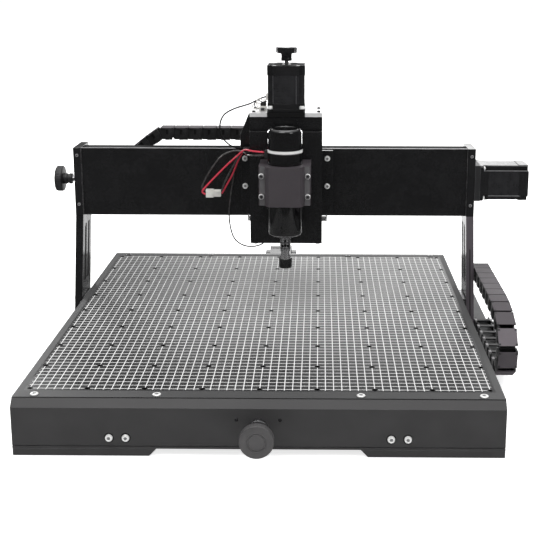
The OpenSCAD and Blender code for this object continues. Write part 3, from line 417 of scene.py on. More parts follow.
Z_MOTOR_LEAD = [(-7.6, 92, 312), (-20, 92, 308), (-36, 92, 300), (-58, 92, 293), (-73, 92, 285), (-80, 92, 275),
                (-82, 92, 262), (-79, 93, 248), (-68, 94, 236), (-57, 95, 231), (-46.8, 96, 230.2)]
LIMIT_LEAD = [(-47.2, 97, 225), (-55, 96, 212), (-63, 95, 181), (-68, 94, 149), (-70, 93, 124), (-67, 92, 100),
              (-60, 92, 84), (-46, 92, 75), (-30, 92, 74), (-17, 92, 79), (-14, 92, 87.7)]
HARNESS_RED = [(-80.3, 88, 159.9), (-74, 89, 171), (-64, 90, 189), (-56, 91, 208), (-47.4, 92, 226)]
HARNESS_BLACK = [(-80.3, 85, 164.5), (-74, 86, 181), (-64, 86, 200), (-55, 87, 216), (-47.4, 88, 228)]
SPINDLE_RED = [(-105.5, 85, 159), (-110, 85, 163), (-106, 85, 170), (-84, 85, 193), (-70, 84, 207),
               (-56, 81, 220), (-46, 73, 230), (-40, 62, 234), (-37, 49, 236), (-28, 34, 237),
               (-10.1, 19.5, 238)]
SPINDLE_BLACK = [(-105.5, 87.5, 163.8), (-111, 88.8, 169), (-106, 88.6, 182), (-94, 88, 202), (-80, 88, 219),
                 (-66, 88, 226), (-54, 85, 228), (-43, 78, 226), (-39, 59, 227), (-31, 36, 230),
                 (-10.1, 15.7, 234)]
CONNECTOR = (-93, 86, 161)

# The two-pin plug and its socket: bodies, ribs and latch
plug = Shape()
cx, cy, cz = CONNECTOR
plug.box((cx - 11.5, cx + 0.2), (cy - 4.2, cy + 4.2), (cz - 6.2, cz + 6.2))
plug.box((cx + 0.2, cx + 11.5), (cy - 3.4, cy + 3.4), (cz - 5.2, cz + 5.2))
for dz in (-3.1, 3.1):
    plug.box((cx - 11.5, cx - 1), (cy - 4.5, cy - 4), (cz + dz - 1.6, cz + dz + 1.6))
    plug.box((cx + 2, cx + 11), (cy - 3.8, cy - 3.2), (cz + dz - 1.2, cz + dz + 1.2))
plug.box((cx - 3, cx + 8), (cy - 5.2, cy - 4.2), (cz - 1.4, cz + 1.4))
plug.box((cx + 6.8, cx + 8), (cy - 5.2, cy - 3.4), (cz - 1.4, cz + 1.4))
connector = build("wire_plug", plug, [WHITE], "x_carriage", ["wire_connector"], bevel=0.35)


def cord(name, route, diameter, material, node, blend=False):
    """A wire along its route, as a round tube."""
    shape = Shape().tube(smooth_route(route, 8), diameter / 2, 14)
    obj = build(name, shape, [material])
    if blend:
        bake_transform(obj, "x_carriage", "z_slide", at(-46, 76, 230), at(-10, 19, 238))
    else:
        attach(obj, "x_carriage")
    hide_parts(node)


THIN, THICK = 2.2, 2.8
cord("lead_z_motor", Z_MOTOR_LEAD, THIN, MATT, "z_motor_lead")
cord("lead_limit_switch", LIMIT_LEAD, THIN, WIRE, "limit_switch_lead")
cord("harness_red", HARNESS_RED, THICK, RED, "harness_wires")
cord("harness_black", HARNESS_BLACK, THICK, WIRE, "harness_wires")
cord("spindle_red", SPINDLE_RED, THICK, RED, "spindle_wires", True)
cord("spindle_black", SPINDLE_BLACK, THICK, WIRE, "spindle_wires", True)


# ---- Carried-over plates ----

# The walls of the table's holes are matt, its outer edge isn't. In metres from the table's middle
INSIDE_RIM = 0.289
# The table's rounded outer edge gets a paler finish, a painted highlight
table = carry("table_plate", [TABLE, MATT, BLACK_EDGE_HIGHLIGHT], 0.2)
for face in table.data.polygons:
    middle = face.center - ORIGIN
    if abs(face.normal.z) < 0.5 and max(abs(middle.x), abs(middle.y)) < INSIDE_RIM:
        face.material_index = 1
# Where a plate below has a paler last finish, it goes on the rounded edges as a painted highlight
carry("front_panel", [PANEL, PANEL_EDGE_HIGHLIGHT], 0.5)
carry("feet", [PANEL, BLACK_EDGE_HIGHLIGHT], 0.5)
for plate in ("rear_panel", "carriage_plate", "z_housing"):
    carry(plate, [BLACK, BLACK_EDGE_HIGHLIGHT], 0.5)
for plate in ("front_cover", "wrap_brackets"):
    carry(plate, [BLACK, GREY_METAL_AND_EDGE_HIGHLIGHT], 0.6)
carry("z_slide_plate", [BLACK, BLACK], 0.4)
carry("x_beam", [MATT, BLACK_EDGE_HIGHLIGHT], 0.5)
for plate in ("bed_frame", "lower_crossbar", "x_saddle", "x_motor_mount", "y_chain_tray", "x_chain_tray",
              "y_chain_bracket"):
    carry(plate, [DARK, BLACK_EDGE_HIGHLIGHT], 0.4)
# The gantry plates: the right leg's front face below the knee is painted paler, as painted light; the grooves and
# the left top are matt, and the rounded edges get a painted highlight
for plate in ("left_gantry_plate", "right_gantry_plate"):
    leg = carry(plate, [LEG, RIGHT_LEG_PAINTED_LIGHT if plate[0] == "r" else BLACK, MATT, GREY_METAL_AND_EDGE_HIGHLIGHT], 0.6)
    knee = at(0, 0, KNEE_Z).z
    for face in leg.data.polygons:
        if face.normal.y < -0.8 and face.center.z < knee:
            face.material_index = 1
        if abs(face.normal.x) > 0.9 and 0.3055 < abs(face.center.x - ORIGIN.x) < 0.3165:
            face.material_index = 2
        if face.normal.z > 0.9 and plate[0] == "l":
            face.material_index = 2
# Dark lines: one down the right leg's front edge, and two stripes on each leg's inner face
seam = Shape()
SIDE_VIEW = Matrix(((0, 0, 1, 0), (1, 0, 0, 0), (0, 1, 0, 0), (0, 0, 0, 1)))
seam.prism([(116.9, 116), (117.5, 116), (75.9, -59), (75.3, -59)], 310.3, 311.7, 0, SIDE_VIEW)
for near, far in ((16, 23), (33, 43)):
    stripe = [(LEG_FRONT_Y + back - (KNEE_Z - z) * LEG_LEAN, z)
              for back, z in ((near, 100), (far, 100), (far, 12), (near, 12))]
    for x in (-305.6, 304.9):
        seam.prism(stripe, x, x + 0.7, 0, SIDE_VIEW)
build("leg_seam", seam, [MATT], "gantry")
carry("y_rails", [STEEL_Y], 0.25)
carry("x_rails", [STEEL_X], 0.25)
carry("z_top_plate", [SILVER_PLATE], 0.4)
carry("z_guide_rods", [STEEL], 0.3)
# The spindle body's and the collet nut's rounded edges get a paler finish, a painted highlight
carry("spindle_body", [GLOSS, GREY_METAL_AND_EDGE_HIGHLIGHT], 0.5)
carry("spindle_ring", [SILVER], 0.3)
carry("spindle_shaft", [STEEL], 0.2)
carry("collet", [STEEL], 0.2)
carry("collet_nut", [MOTOR, BLACK_EDGE_HIGHLIGHT], 0.3)

# Dark set screws, and two dark rings round the spindle's shaft that stand for grooves, their dark a painted shade
marks = Shape()
SHAFT_R = 8
for angle, z, r in ((0, 106.5, 1.9), (0, 99, 1.9), (32, 98.5, 2.2), (-32, 98.5, 2.2), (180, 99, 1.9)):
    a = math.radians(angle)
    out = (math.sin(a), -math.cos(a), 0)
    marks.lathe([(0, -0.5), (r, -0.5), (r, 0.3), (r - 0.4, 0.4), (0, 0.4)], 24, 0,
                placed(AXIS_X + (SHAFT_R - 0.2) * out[0], SPINDLE_Y + (SHAFT_R - 0.2) * out[1], z, out))
for z in (94, 103):
    marks.lathe([(SHAFT_R - 0.3, z), (SHAFT_R + 0.08, z), (SHAFT_R + 0.08, z + 0.9), (SHAFT_R - 0.3, z + 0.9)],
                64, 0, placed(AXIS_X, SPINDLE_Y, 0), True)
build("shaft_marks", marks, [MATT], "spindle_rotor")


# ---- Table grid ----

CELL, GRID_END, HALF_LINE, HOLE_CLEAR = 10, 283, 0.55, 3.6
BORDER_IN, BORDER_OUT = 286, 294.6
HOLES = [70 * k for k in range(-4, 5)]
# A line each 10 mm, and each seventh one is broken at the holes
grid = Shape()
for i in range(-28, 29):
    line = CELL * i
    ends = [-GRID_END]
    if i % 7 == 0:
        for hole in HOLES:
            ends += [hole - HOLE_CLEAR, hole + HOLE_CLEAR]
    ends.append(GRID_END)
    for start, stop in zip(ends[::2], ends[1::2]):
        if stop > start:
            grid.box((start, stop), (line - HALF_LINE, line + HALF_LINE), (-0.3, 0.10))
            grid.box((line - HALF_LINE, line + HALF_LINE), (start, stop), (-0.3, 0.13))
build("table_grid_lines", grid, [TABLE_LINE], "bed")
# The plain border, wider in front, and a dark rim round each hole, a painted shade at the holes' mouths
border = Shape()
for low, high in ((-304.6, -BORDER_IN), (285, BORDER_OUT)):
    border.box((-BORDER_OUT, BORDER_OUT), (low, high), (-0.3, 0.06))
for low, high in ((-BORDER_OUT, -BORDER_IN), (BORDER_IN, BORDER_OUT)):
    border.box((low, high), (-BORDER_IN, 285), (-0.3, 0.06))
for x in HOLES:
    for y in HOLES:
        border.lathe([(2.55, -0.25), (3.1, -0.25), (3.1, 0.07), (2.55, 0.07)], 24, 1, placed(x, y, 0), True)
build("table_border", border, [BORDER, MATT], "bed")


# ---- Screws ----

# In the silver and grey screws the socket's finish is darker than the head: painted shade in the hexagon
SOCKET = 1  # the index of the material in a screw's socket
MOTOR_SIDE, MOTOR_HOLE = 57, 23.57


def screw(shape, place, head, height, shank, length, slot=0):
    """A button-head screw with a hexagon socket, its head standing on the place's plane."""
    r, a = head / 2, head * 0.22
    shape.lathe([(0, 0.35 * height), (a, 0.35 * height, 6), (a, 0.97 * height, 6), (0.66 * r, height),
                 (0.88 * r, 0.84 * height), (r, 0.5 * height), (r, 0), (shank / 2, 0), (shank / 2, -length),
                 (0, -length)], 36, slot, place)
    shape.lathe([(0, 0.3 * height), (0.98 * a, 0.3 * height, 6), (0.98 * a, 0.7 * height, 6), (0, 0.5 * height)],
                36, SOCKET, place)


def motor_corners(place, height):
    """Where a stepper motor's four flange screws go."""
    return [place @ Matrix.Translation((x, y, height)) for x in (-MOTOR_HOLE, MOTOR_HOLE)
            for y in (-MOTOR_HOLE, MOTOR_HOLE)]


def axes(origin, x, y, z):
    """A place whose own axes point along x, y and z."""
    return Matrix.Translation(origin) @ Matrix((x, y, z)).transposed().to_4x4()


FRONT = (0, -1, 0)
X_MOTOR = axes((325.5, X_SCREW_Y, X_SCREW_Z), (0, 0, -1), (0, 1, 0), (1, 0, 0))
Y_MOTOR = axes((0, 303, Y_SCREW_Z), (1, 0, 0), (0, 0, -1), (0, 1, 0))
Z_MOTOR = axes((AXIS_X, Z_SCREW_Y, 291), (1, 0, 0), (0, 1, 0), (0, 0, 1))

bright = Shape()
for x in (-270, -122.5, 122.5, 270):
    screw(bright, placed(x, -297, 0), 10, 1.5, 5, 4)
for x in (-178.5, -158.5, 158.5, 178.5):
    screw(bright, placed(x, -313, -48, FRONT), 9, 2.8, 4, 8)
build("bed_screws_bright", bright, [SILVER, MOTOR_HIGHLIGHT_AND_SOCKET_SHADE], "bed", ["bed_screws"])
dark = Shape()
for x in (-270, -122.5, 122.5, 270):
    screw(dark, placed(x, 287, 0), 10, 1.5, 5, 4)
for x in (-26, 26):
    screw(dark, placed(x, -313, -24, FRONT), 4, 0.8, 3, 6)
for place in motor_corners(Y_MOTOR, 5):
    screw(dark, place, 7, 3, 4, 5)
for x in (-270, -180, 180, 270):
    for z in (-14, -32):
        screw(dark, placed(x, 303, z, (0, 1, 0)), 9, 2.6, 5, 7)
# A thin black ring behind each front panel screw's head: painted shadow round the head, also standing for its
# countersink
for x in (-178.5, -158.5, 158.5, 178.5):
    dark.lathe([(0, -0.3), (5.9, -0.3), (5.9, 0.08), (0, 0.08)], 36, 0, placed(x, -313, -48, FRONT))
build("bed_screws_dark", dark, [MOTOR, DARK], "bed", ["bed_screws"])

edge = Shape()
sides = Shape()
for s in (-1, 1):
    for z in (135, 214):
        screw(edge, placed(s * 311, LEG_FRONT_Y, z, FRONT), 5, 1.5, 3, 6)
    for y, z in ((154, 133), (154, 208), (96, -14), (126, -14), (94, -34), (124, -34)):
        screw(sides, placed(s * 317, y, z, (s, 0, 0)), 7, 0.8 if s > 0 else 2.6, 5, 6)
build("gantry_edge_screws", edge, [GREY_METAL_AND_EDGE_HIGHLIGHT, DARK], "gantry", ["gantry_screws"])
for place in motor_corners(X_MOTOR, 5):
    screw(sides, place, 7, 3, 4, 5)
build("gantry_side_screws", sides, [SILVER, DARK], "gantry", ["gantry_screws"])

bright = Shape()
for x in (-65.5, 62.4):
    for z in (169.6, 213.6):
        screw(bright, placed(AXIS_X + x, 100, z, FRONT), 9, 2.8, 5, 4)
for x in (-48, 48):
    for y in (68, 92):
        screw(bright, placed(AXIS_X + x, y, 88, (0, 0, -1)), 8, 2.6, 4, 6)
for place in motor_corners(Z_MOTOR, 5):
    screw(bright, place, 8.6, 4.4, 4, 5)
build("carriage_screws_bright", bright, [SILVER, MOTOR_HIGHLIGHT_AND_SOCKET_SHADE], "x_carriage", ["carriage_screws"])
dark = Shape()
for x in (-49, 49):
    for y in (68, 108):
        screw(dark, placed(AXIS_X + x, y, 291), 5, 2, 3, 6)
build("carriage_screws_dark", dark, [MOTOR, DARK], "x_carriage", ["carriage_screws"])


# ---- Stepper motors ----

def notched(side, cut):
    """A square with a step cut out of each corner."""
    h, c = side / 2, side / 2 - cut
    return [(h, -c), (h, c), (c, c), (c, h), (-c, h), (-c, c),
            (-h, c), (-h, -c), (-c, -c), (-c, -h), (c, -h), (c, -c)]


def clipped(side, cut):
    """A square with its corners cut off."""
    h, c = side / 2, side / 2 - cut
    return [(h, -c), (h, c), (c, h), (-c, h), (-h, c), (-h, -c), (-c, -h), (c, -h)]


def motor(node, body, place, length, stack, through, socket_turn, socket_at, lines=(), line_finish=MATT):
    """A square stepper motor: flange, two end caps, the stack of plates between them, and a lead socket.
    lines are (x, y, near end, gap at the far end) of the bright lines on its sides, which are painted highlights."""
    shape = Shape()
    shape.prism(clipped(MOTOR_SIDE, 2.5), 0, 5, 0, place)
    shape.lathe([(0, -1.6), (18.4, -1.6), (19.05, -1), (19.05, 0.5), (0, 0.5)], 72, 2, place)
    shape.prism(notched(56.4, 8.5), 4.5, 13, 0, place)
    shape.prism(notched(55.4, 8.3), 12.5, length - 14, 1, place)
    shape.prism(notched(MOTOR_SIDE, 8.5), length - 14.5, length, 0, place)
    for x in (-17, 17):
        for y in (-22.5, 22.5):
            shape.lathe([(0, 0.2), (1.1, 0.2, 6), (1.1, 0.6, 6), (2, 0.7), (2.3, 0.3), (2.3, -2), (0, -2)], 36, 2,
                        place @ Matrix.Translation((x, y, length - 0.4)))
    for x, y, near, deep in lines:
        shape.box((x - 0.45, x + 0.45), (y - 0.12, y + 0.4), (near, length - deep), 4, place)
    if through:
        shape.lathe([(0, length), (7, length), (7, length + 0.4), (0, length + 0.4)], 48, 0, place)
        shape.prism(notched(55.6, 8.8), length - 0.5, length + 0.04, 5, place)
        shape.box((-28.5, 28.5), (-32.9, -28), (0, 0.5), 0, place)
        shape.box((-28.5, 28.5), (-32.9, -32.3), (-6.1, 0.5), 5, place)
    spin = Matrix.Rotation(math.radians(socket_turn), 4, "Z")
    socket = place @ spin @ Matrix.Translation((28.2, 0, socket_at))
    shape.box((-2, 3), (-8.5, 8.5), (-4.5, 4.5), 3, socket)
    for k in range(6):
        shape.box((3, 3.4), (-6.9 + 2.4 * k, -5.3 + 2.4 * k), (-2.4, 2.4), 0, socket)
    build(node + "_case", shape, [MOTOR, stack, STEEL, WHITE, line_finish, MATT], body,
          [node], 0.45)


motor("x_motor", "gantry", X_MOTOR, 76, STACK_X, False, 90, 68,
      [(-20.6, -28.3, 5, 1), (-27.2, -20.4, 5, 1), (19.8, -28.3, 13, 12)], MOTOR_HIGHLIGHT_AND_SOCKET_SHADE)
motor("y_motor", "bed", Y_MOTOR, 76, STACK_Y, False, 90, 68)
motor("z_motor", "x_carriage", Z_MOTOR, 70, STACK, True, 180, 21,
      [(-19.4, -28.3, 13, 14), (15.2, -28.3, 13, 14)], BLACK_EDGE_HIGHLIGHT)

# The motor lead's plug with its pins and loose wires, beside the Z motor on its top plate
motor_plug = Shape()
motor_plug.box((-20, -9.5), (74, 88), (291.2, 297.5), 0)
motor_plug.box((-17.5, -12), (73, 75), (292.3, 296.4), 1)
motor_plug.box((-19, -10.5), (89, 93), (291.2, 302), 1)
for k in range(4):
    motor_plug.box((-18.6 + 2.4 * k, -17.4 + 2.4 * k), (72.4, 74), (294, 295.6), 2)
for x, top in ((-18.2, 305), (-14.8, 303), (-11.6, 304.5)):
    motor_plug.tube([(x, 88, 295), (x - 0.4, 91, 299), (x + 0.6, 91, 302), (-10 + 0.3 * x / 10, 90.5, top)],
                    0.75, 10, 1)
for slot, reach, rise in ((0, -31, 299), (1, -28, 303), (0, -25, 306)):
    loop = [(-18, 84 + slot, 296), (reach + 3, 85, 293.5), (reach, 87, rise - 2), (reach + 5, 89, rise + 3),
            (-16, 90.5, rise), (-9.5, 90.5, rise + 1)]
    motor_plug.tube(smooth_route(loop, 6), 0.8, 10, slot)
build("motor_plug", motor_plug, [WHITE, NYLON, STEEL], "x_carriage", bevel=0.3)


# ---- Handwheels ----

def toothed(shape, profile, sides, slot, place, teeth):
    """A lathe of (radius, z, depth of the teeth) rings."""
    points = []
    for radius, z, cut in profile:
        for i in range(sides):
            a = 2 * math.pi * i / sides
            phase = (i * teeth / sides) % 1
            r = radius - cut * (0.5 - 0.5 * math.cos(2 * math.pi * phase)) ** 2
            points.append((r * math.cos(a), r * math.sin(a), z))
    shape.add(points, skin(len(profile), sides), slot, place)


def handwheel(node, body, place, d, thick, hub, hub_h, finish):
    """A knurled wheel whose face is on the place's plane, with a dished face and a stepped hub behind it."""
    r = d / 2
    shape = Shape()
    toothed(shape, [(4, 0.25, 0), (r * 0.44, 0.25, 0), (r * 0.47, 1.1, 0), (r * 0.55, 1.1, 0), (r * 0.58, 0.2, 0),
                    (r - 1.4, 0, 0), (r - 0.5, 0.5, 0), (r, 1.6, 0.5), (r, thick - 1.6, 0.5),
                    (r - 0.6, thick - 0.5, 0), (r - 1.8, thick, 0), (hub / 2 - 1, thick, 0)], 240, 0, place, 48)
    waist = hub / 2 - 1.6 if hub_h > 12 else hub / 2 - 0.3
    end = thick + hub_h
    shape.lathe([(0, thick - 1), (hub / 2, thick - 1), (hub / 2, thick + hub_h * 0.45),
                 (waist, thick + hub_h * 0.5), (waist, thick + hub_h * 0.62), (hub / 2, thick + hub_h * 0.67),
                 (hub / 2, end - 0.5), (hub / 2 - 0.5, end), (4.2, end), (4.2, end - 2), (0, end - 2)],
                64, 0, place)
    grip = place @ Matrix.Translation((hub / 2 - 0.4, 0, thick + hub_h * 0.82)) @ turn_to((1, 0, 0))
    shape.lathe([(0, 0.2), (1.1, 0.2, 6), (1.1, 0.5, 6), (1.8, 0.6), (1.8, -1), (0, -1)], 36, 1, grip)
    build(node + "_knurled", shape, [finish, STEEL, MOTOR], body, [node])


handwheel("y_handwheel", "y_drive", placed(0, -350, Y_SCREW_Z, (0, 1, 0)), 41, 11, 17, 14, WHEEL)
handwheel("x_handwheel", "x_drive", placed(-351.5, X_SCREW_Y, X_SCREW_Z, (1, 0, 0)), 41, 11, 17, 14, DARK)
handwheel("z_knob", "z_drive", placed(AXIS_X, Z_SCREW_Y, 387, (0, 0, -1)), 32, 9, 17, 11.5, MOTOR)


# ---- Leadscrews ----

LEAD = 5


def thread(shape, place, start, stop, radius, depth, slot=0, sides=24, steps=8):
    """A trapezoidal thread: one turn moves its nut by one lead."""
    points = []
    count = int((stop - start) / LEAD * steps)
    for k in range(count + 1):
        z = start + (stop - start) * k / count
        for i in range(sides):
            phase = (z / LEAD - i / sides) % 1
            rise = min(1, max(0, 3.2 * abs(2 * phase - 1) - 1.1))
            if k in (0, count):
                rise = 0
            r = radius - depth * (1 - rise)
            a = 2 * math.pi * i / sides
            points.append((r * math.cos(a), r * math.sin(a), z))
    shape.add(points, skin(count + 1, sides), slot, place)


COUPLER = [(4.05, 0), (9, 0), (9.5, 0.5), (9.5, 10.8), (8.9, 11.4), (9.5, 12), (9.5, 13.4), (8.7, 14),
           (9.5, 14.6), (9.5, 16), (8.9, 16.6), (9.5, 17.2), (9.5, 27.5), (9, 28), (4.05, 28)]


def leadscrew(node, body, place, radius, first, start, stop, last, coupler, shaft_end, steel):
    """Journals, thread, shaft coupler and motor shaft along the place's own Z.
    The thread runs from start to stop, between journals that reach out to first and last."""
    shape = Shape()
    shape.lathe([(0, first), (3.6, first), (4, first + 0.4), (4, start + 0.5), (0, start + 0.5)], 40, 0, place)
    thread(shape, place, start, stop, radius, 0.9)
    shape.lathe([(0, stop - 0.5), (4, stop - 0.5), (4, last), (0, last)], 40, 0, place)
    mid = coupler + 14
    shape.lathe([(0, mid), (3.17, mid), (3.17, shaft_end - 0.4), (2.8, shaft_end), (0, shaft_end)], 40, 0, place)
    shape.lathe([(r, coupler + z) for r, z in COUPLER], 64, 1, place, True)
    for z in (coupler + 5, coupler + 23):
        for a in (0.4, 2.6):
            spot = place @ Matrix.Rotation(a, 4, "Z") @ Matrix.Translation((9.3, 0, z)) @ turn_to((1, 0, 0))
            shape.lathe([(0, 0.1), (0.9, 0.1, 6), (0.9, 0.3, 6), (1.6, 0.35), (1.6, -1), (0, -1)], 36, 0, spot)
    build(node + "_threaded", shape, [steel, SILVER_PLATE], body, [node])


# Distances along each screw, in the bed's own y, x and z
leadscrew("y_leadscrew", "y_drive", placed(0, 0, Y_SCREW_Z, (0, 1, 0)), 6,
          -344.5, -287, 245, 281, 268, 313, STEEL_Y)
leadscrew("x_leadscrew", "x_drive", placed(0, X_SCREW_Y, X_SCREW_Z, (1, 0, 0)), 6,
          -346, -303, 261, 303.5, 290.5, 335.5, STEEL_X)
leadscrew("z_leadscrew", "z_drive", placed(AXIS_X, Z_SCREW_Y, 0), 5,
          90, 97, 242, 269, 256, 382, STEEL)


# ---- Rail blocks ----

def rail_block(shape, place, length, reach):
    """A recirculating block round a rail: steel middle, a black cap and its two screws at each end."""
    foot = 3
    body = [(-13.5, foot), (-6.3, foot), (-6.3, 8.3), (6.3, 8.3), (6.3, foot), (13.5, foot), (13.5, 5.4),
            (12.8, 6.2), (13.5, 7), (13.5, reach - 1), (12.5, reach), (-12.5, reach), (-13.5, reach - 1),
            (-13.5, 7), (-12.8, 6.2), (-13.5, 5.4)]
    cap = [(x * 0.985, max(z, foot + 0.2) - (0.3 if z == reach else 0)) for x, z in body]
    shape.prism(body, -length / 2 + 4, length / 2 - 4, 0, place)
    for end in (-1, 1):
        low, high = sorted((end * (length / 2 - 4.1), end * length / 2))
        shape.prism(cap, low, high, 1, place)
        for x in (-9.5, 9.5):
            centre = Matrix.Translation((x, reach - 3.6, end * length / 2 - end * 0.7))
            spot = place @ centre @ turn_to((0, 0, end))
            shape.lathe([(0, 0.3), (0.8, 0.3, 6), (0.8, 0.8, 6), (1.4, 0.9), (1.9, 0.5), (1.9, -1), (0, -1)],
                        36, 0, spot)


blocks = Shape()
for s in (-1, 1):
    rail_block(blocks, axes((s * 285, 111, -24), (0, 0, -s), (s, 0, 0), (0, 1, 0)), 50, 20)
build("y_blocks", blocks, [STEEL_Y, NYLON], "gantry", ["y_bearing_blocks"], 0.25)
blocks = Shape()
for z in (138, 205):
    for x in (-30, 30):
        rail_block(blocks, axes((AXIS_X + x, 147, z), (0, 0, 1), (0, -1, 0), (1, 0, 0)), 40, 13)
build("x_blocks", blocks, [STEEL_X, NYLON], "x_carriage", ["x_bearing_blocks"], 0.25)


# ---- Cable chains ----

CHAIN_W, CHAIN_HALF = 27, 10
# The link at this heading has its lid painted paler still: a painted highlight
PAINTED_HIGHLIGHT_HEADING = 234  # the link whose lid faces the light


def chain_points(start, headings, pitch):
    """Where each link starts, and its heading in degrees."""
    spots, point = [], Vector(start)
    for h in headings:
        spots.append((point.copy(), h))
        point = point + pitch * Vector((math.cos(math.radians(h)), math.sin(math.radians(h))))
    return spots


def chain_link(shape, place, pitch, turn, last, lid_slot):
    """One link along its own X: lid at -Y, two stepped side walls, crossbar at +Y, pivots and worn tips."""
    h = CHAIN_HALF
    cut = h * math.tan(math.radians(turn / 2)) + 0.3
    step = pitch * 0.6
    outer = [(0.3, -h + 1.6), (step, -h + 1.6), (step, h), (cut, h), (0.3, 0)]
    for low, high in ((0, 2.2), (CHAIN_W - 2.2, CHAIN_W)):
        shape.prism(outer, low, high, 0, place)
    turns = [] if last else [math.radians(k) for k in range(-60, 61, 15)]
    nose = [(pitch + 5.6 * math.cos(a), 5.6 * math.sin(a)) for a in turns]
    inner = [(step - 4, -h + 2), (pitch - cut - 0.2, -h + 2), *nose, (pitch - cut - 0.2, h - 0.4),
             (step - 4, h - 0.4)]
    for low in (2.3, CHAIN_W - 4.3):
        shape.prism(inner, low, low + 2, 0, place)
    lid = [(0.5, -h), (pitch - 0.5, -h), (pitch - 0.9, -h + 1.8), (0.9, -h + 1.8)]
    shape.prism(lid, 0.4, CHAIN_W - 0.4, lid_slot, place)
    for z in (0.2, CHAIN_W - 3.6):
        shape.box((1.2, 4.2), (-h - 0.01, -h + 2.4), (z, z + 3.4), 0, place)
        shape.box((pitch - 4.2, pitch - 1.2), (-h - 0.01, -h + 2.4), (z, z + 3.4), 0, place)
    shape.box((-1, pitch + 1), (-1.1, 1.1), (2.4, CHAIN_W - 2.4), 0, place)
    shape.box((pitch * 0.36, pitch * 0.62), (h - 2, h), (1, CHAIN_W - 1), 0, place)
    for z in (0.1, CHAIN_W - 3.6):
        shape.box((pitch * 0.34, pitch * 0.64), (h - 1.6, h + 0.15), (z, z + 3.5), 2, place)
    # Thin dark patches on the walls' outer faces where the walls have openings: painted shade, no opening is cut
    for z in (0.02, CHAIN_W - 0.12):
        shape.box((pitch * 0.40, pitch * 0.58), (-h + 3, 1), (z - 0.08, z + 0.18), 4, place)
    for z, way in ((0, -1), (CHAIN_W, 1)):
        spot = place @ Matrix.Translation((5.2, 0, z)) @ turn_to((0, 0, way))
        shape.lathe([(0, 0.25), (2.2, 0.25), (2.4, -0.1), (3.6, -0.1), (3.8, 0.3), (4.4, 0.3), (4.6, -0.4),
                     (0, -0.4)], 32, 0, spot)


def chain(name, start, headings, pitch, first, stop, frame_of, a, b, begin, end):
    """The links from first to stop - 1 as one piece that bends between two bodies."""
    shape = Shape()
    spots = chain_points(start, headings, pitch)
    for i in range(first, stop):
        point, h = spots[i]
        turn = max(abs(h - headings[max(i - 1, 0)]), abs(headings[min(i + 1, len(headings) - 1)] - h))
        place = frame_of @ Matrix.Translation((point.x, point.y, 0)) @ Matrix.Rotation(math.radians(h), 4, "Z")
        chain_link(shape, place, pitch, turn, i == stop - 1, 3 if h == PAINTED_HIGHLIGHT_HEADING else 1)
    obj = build(name + "_links", shape, [NYLON, NYLON_LID_PAINTED_LIGHT, NYLON_WORN, NYLON_PAINTED_HIGHLIGHT, MATT], None, (), 0.3)
    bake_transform(obj, a, b, at(*begin), at(*end))
    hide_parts(name)


# Each chain lies in a plane of its own. Its links' headings there are in degrees, from the moving end
Y_FRAME = axes((318, 0, 0), (0, 1, 0), (0, 0, 1), (1, 0, 0))
Y_OVER = [180] * 6 + [183, 190, 203, 234]
Y_UNDER = [280, 326] + [360] * 7
X_FRAME = axes((0, 210, 0), (1, 0, 0), (0, 0, 1), (0, -1, 0))
X_OVER = [180] * 6 + [215, 218, 258]
X_UNDER = [300, 335] + [360] * 9
Y_TURN, X_TURN = -116, -232  # where the bends are, along y and x
chain("y_chain_upper", (128, 27), Y_OVER + Y_UNDER, 26, 0, len(Y_OVER), Y_FRAME, "bed", "gantry",
      (331, 2 * Y_TURN - 128, 0), (331, 128, 0))
chain("y_chain_lower", (128, 27), Y_OVER + Y_UNDER, 26, len(Y_OVER), len(Y_OVER + Y_UNDER), Y_FRAME,
      "bed", "gantry", (331, 88, 0), (331, 2 * Y_TURN - 88, 0))
chain("x_chain_upper", (-52, 238), X_OVER + X_UNDER, 23, 0, len(X_OVER), X_FRAME, "gantry", "x_carriage",
      (2 * X_TURN + 52, 196, 200), (-52, 196, 200))
chain("x_chain_lower", (-52, 238), X_OVER + X_UNDER, 23, len(X_OVER), len(X_OVER + X_UNDER), X_FRAME,
      "gantry", "x_carriage", (8, 196, 200), (2 * X_TURN - 8, 196, 200))


# ---- Pieces split from CAD nodes, for a finish on each of their solids ----

def split(node, body, finishes, bevel=0.35):
    """Makes one piece for each finish from a node's solids.
    A finish is (name, test of a solid's size and middle, materials)."""
    source = bmesh.new()
    source.from_mesh(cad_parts[node].data)
    bmesh.ops.remove_doubles(source, verts=source.verts, dist=WELD_DISTANCE)
    bmesh.ops.dissolve_limit(source, angle_limit=FLAT_ANGLE, verts=source.verts, edges=source.edges)
    found = set()
    groups = {}
    for start in source.verts:
        if start in found:
            continue
        found.add(start)
        island = [start]
        for vert in island:  # grows until it holds the whole solid, in the same order each run
            for e in vert.link_edges:
                other = e.other_vert(vert)
                if other not in found:
                    found.add(other)
                    island.append(other)
        spots = [(v.co - ORIGIN) / MM for v in island]
        low = Vector([min(p[k] for p in spots) for k in range(3)])
        high = Vector([max(p[k] for p in spots) for k in range(3)])
        name = next((n for n, test, _ in finishes if test(high - low, (low + high) / 2)), None)
        if name:
            groups.setdefault(name, []).append(island)
    made = {}
    for name, _, materials in finishes:
        if name not in groups:
            raise SystemExit(f"no solid of {node} is for {name}")
        verts = {v: i for i, v in enumerate(v for island in groups[name] for v in island)}
        shape = Shape()
        shape.points = [(v.co - ORIGIN) / MM for v in verts]
        shape.faces = [[verts[v] for v in f.verts] for f in source.faces if f.verts[0] in verts]
        shape.slots = [0] * len(shape.faces)
        made[name] = build(name, shape, materials, body, [node], bevel, edge_index(materials))
    source.free()
    return made


def always(size, middle):
    return True


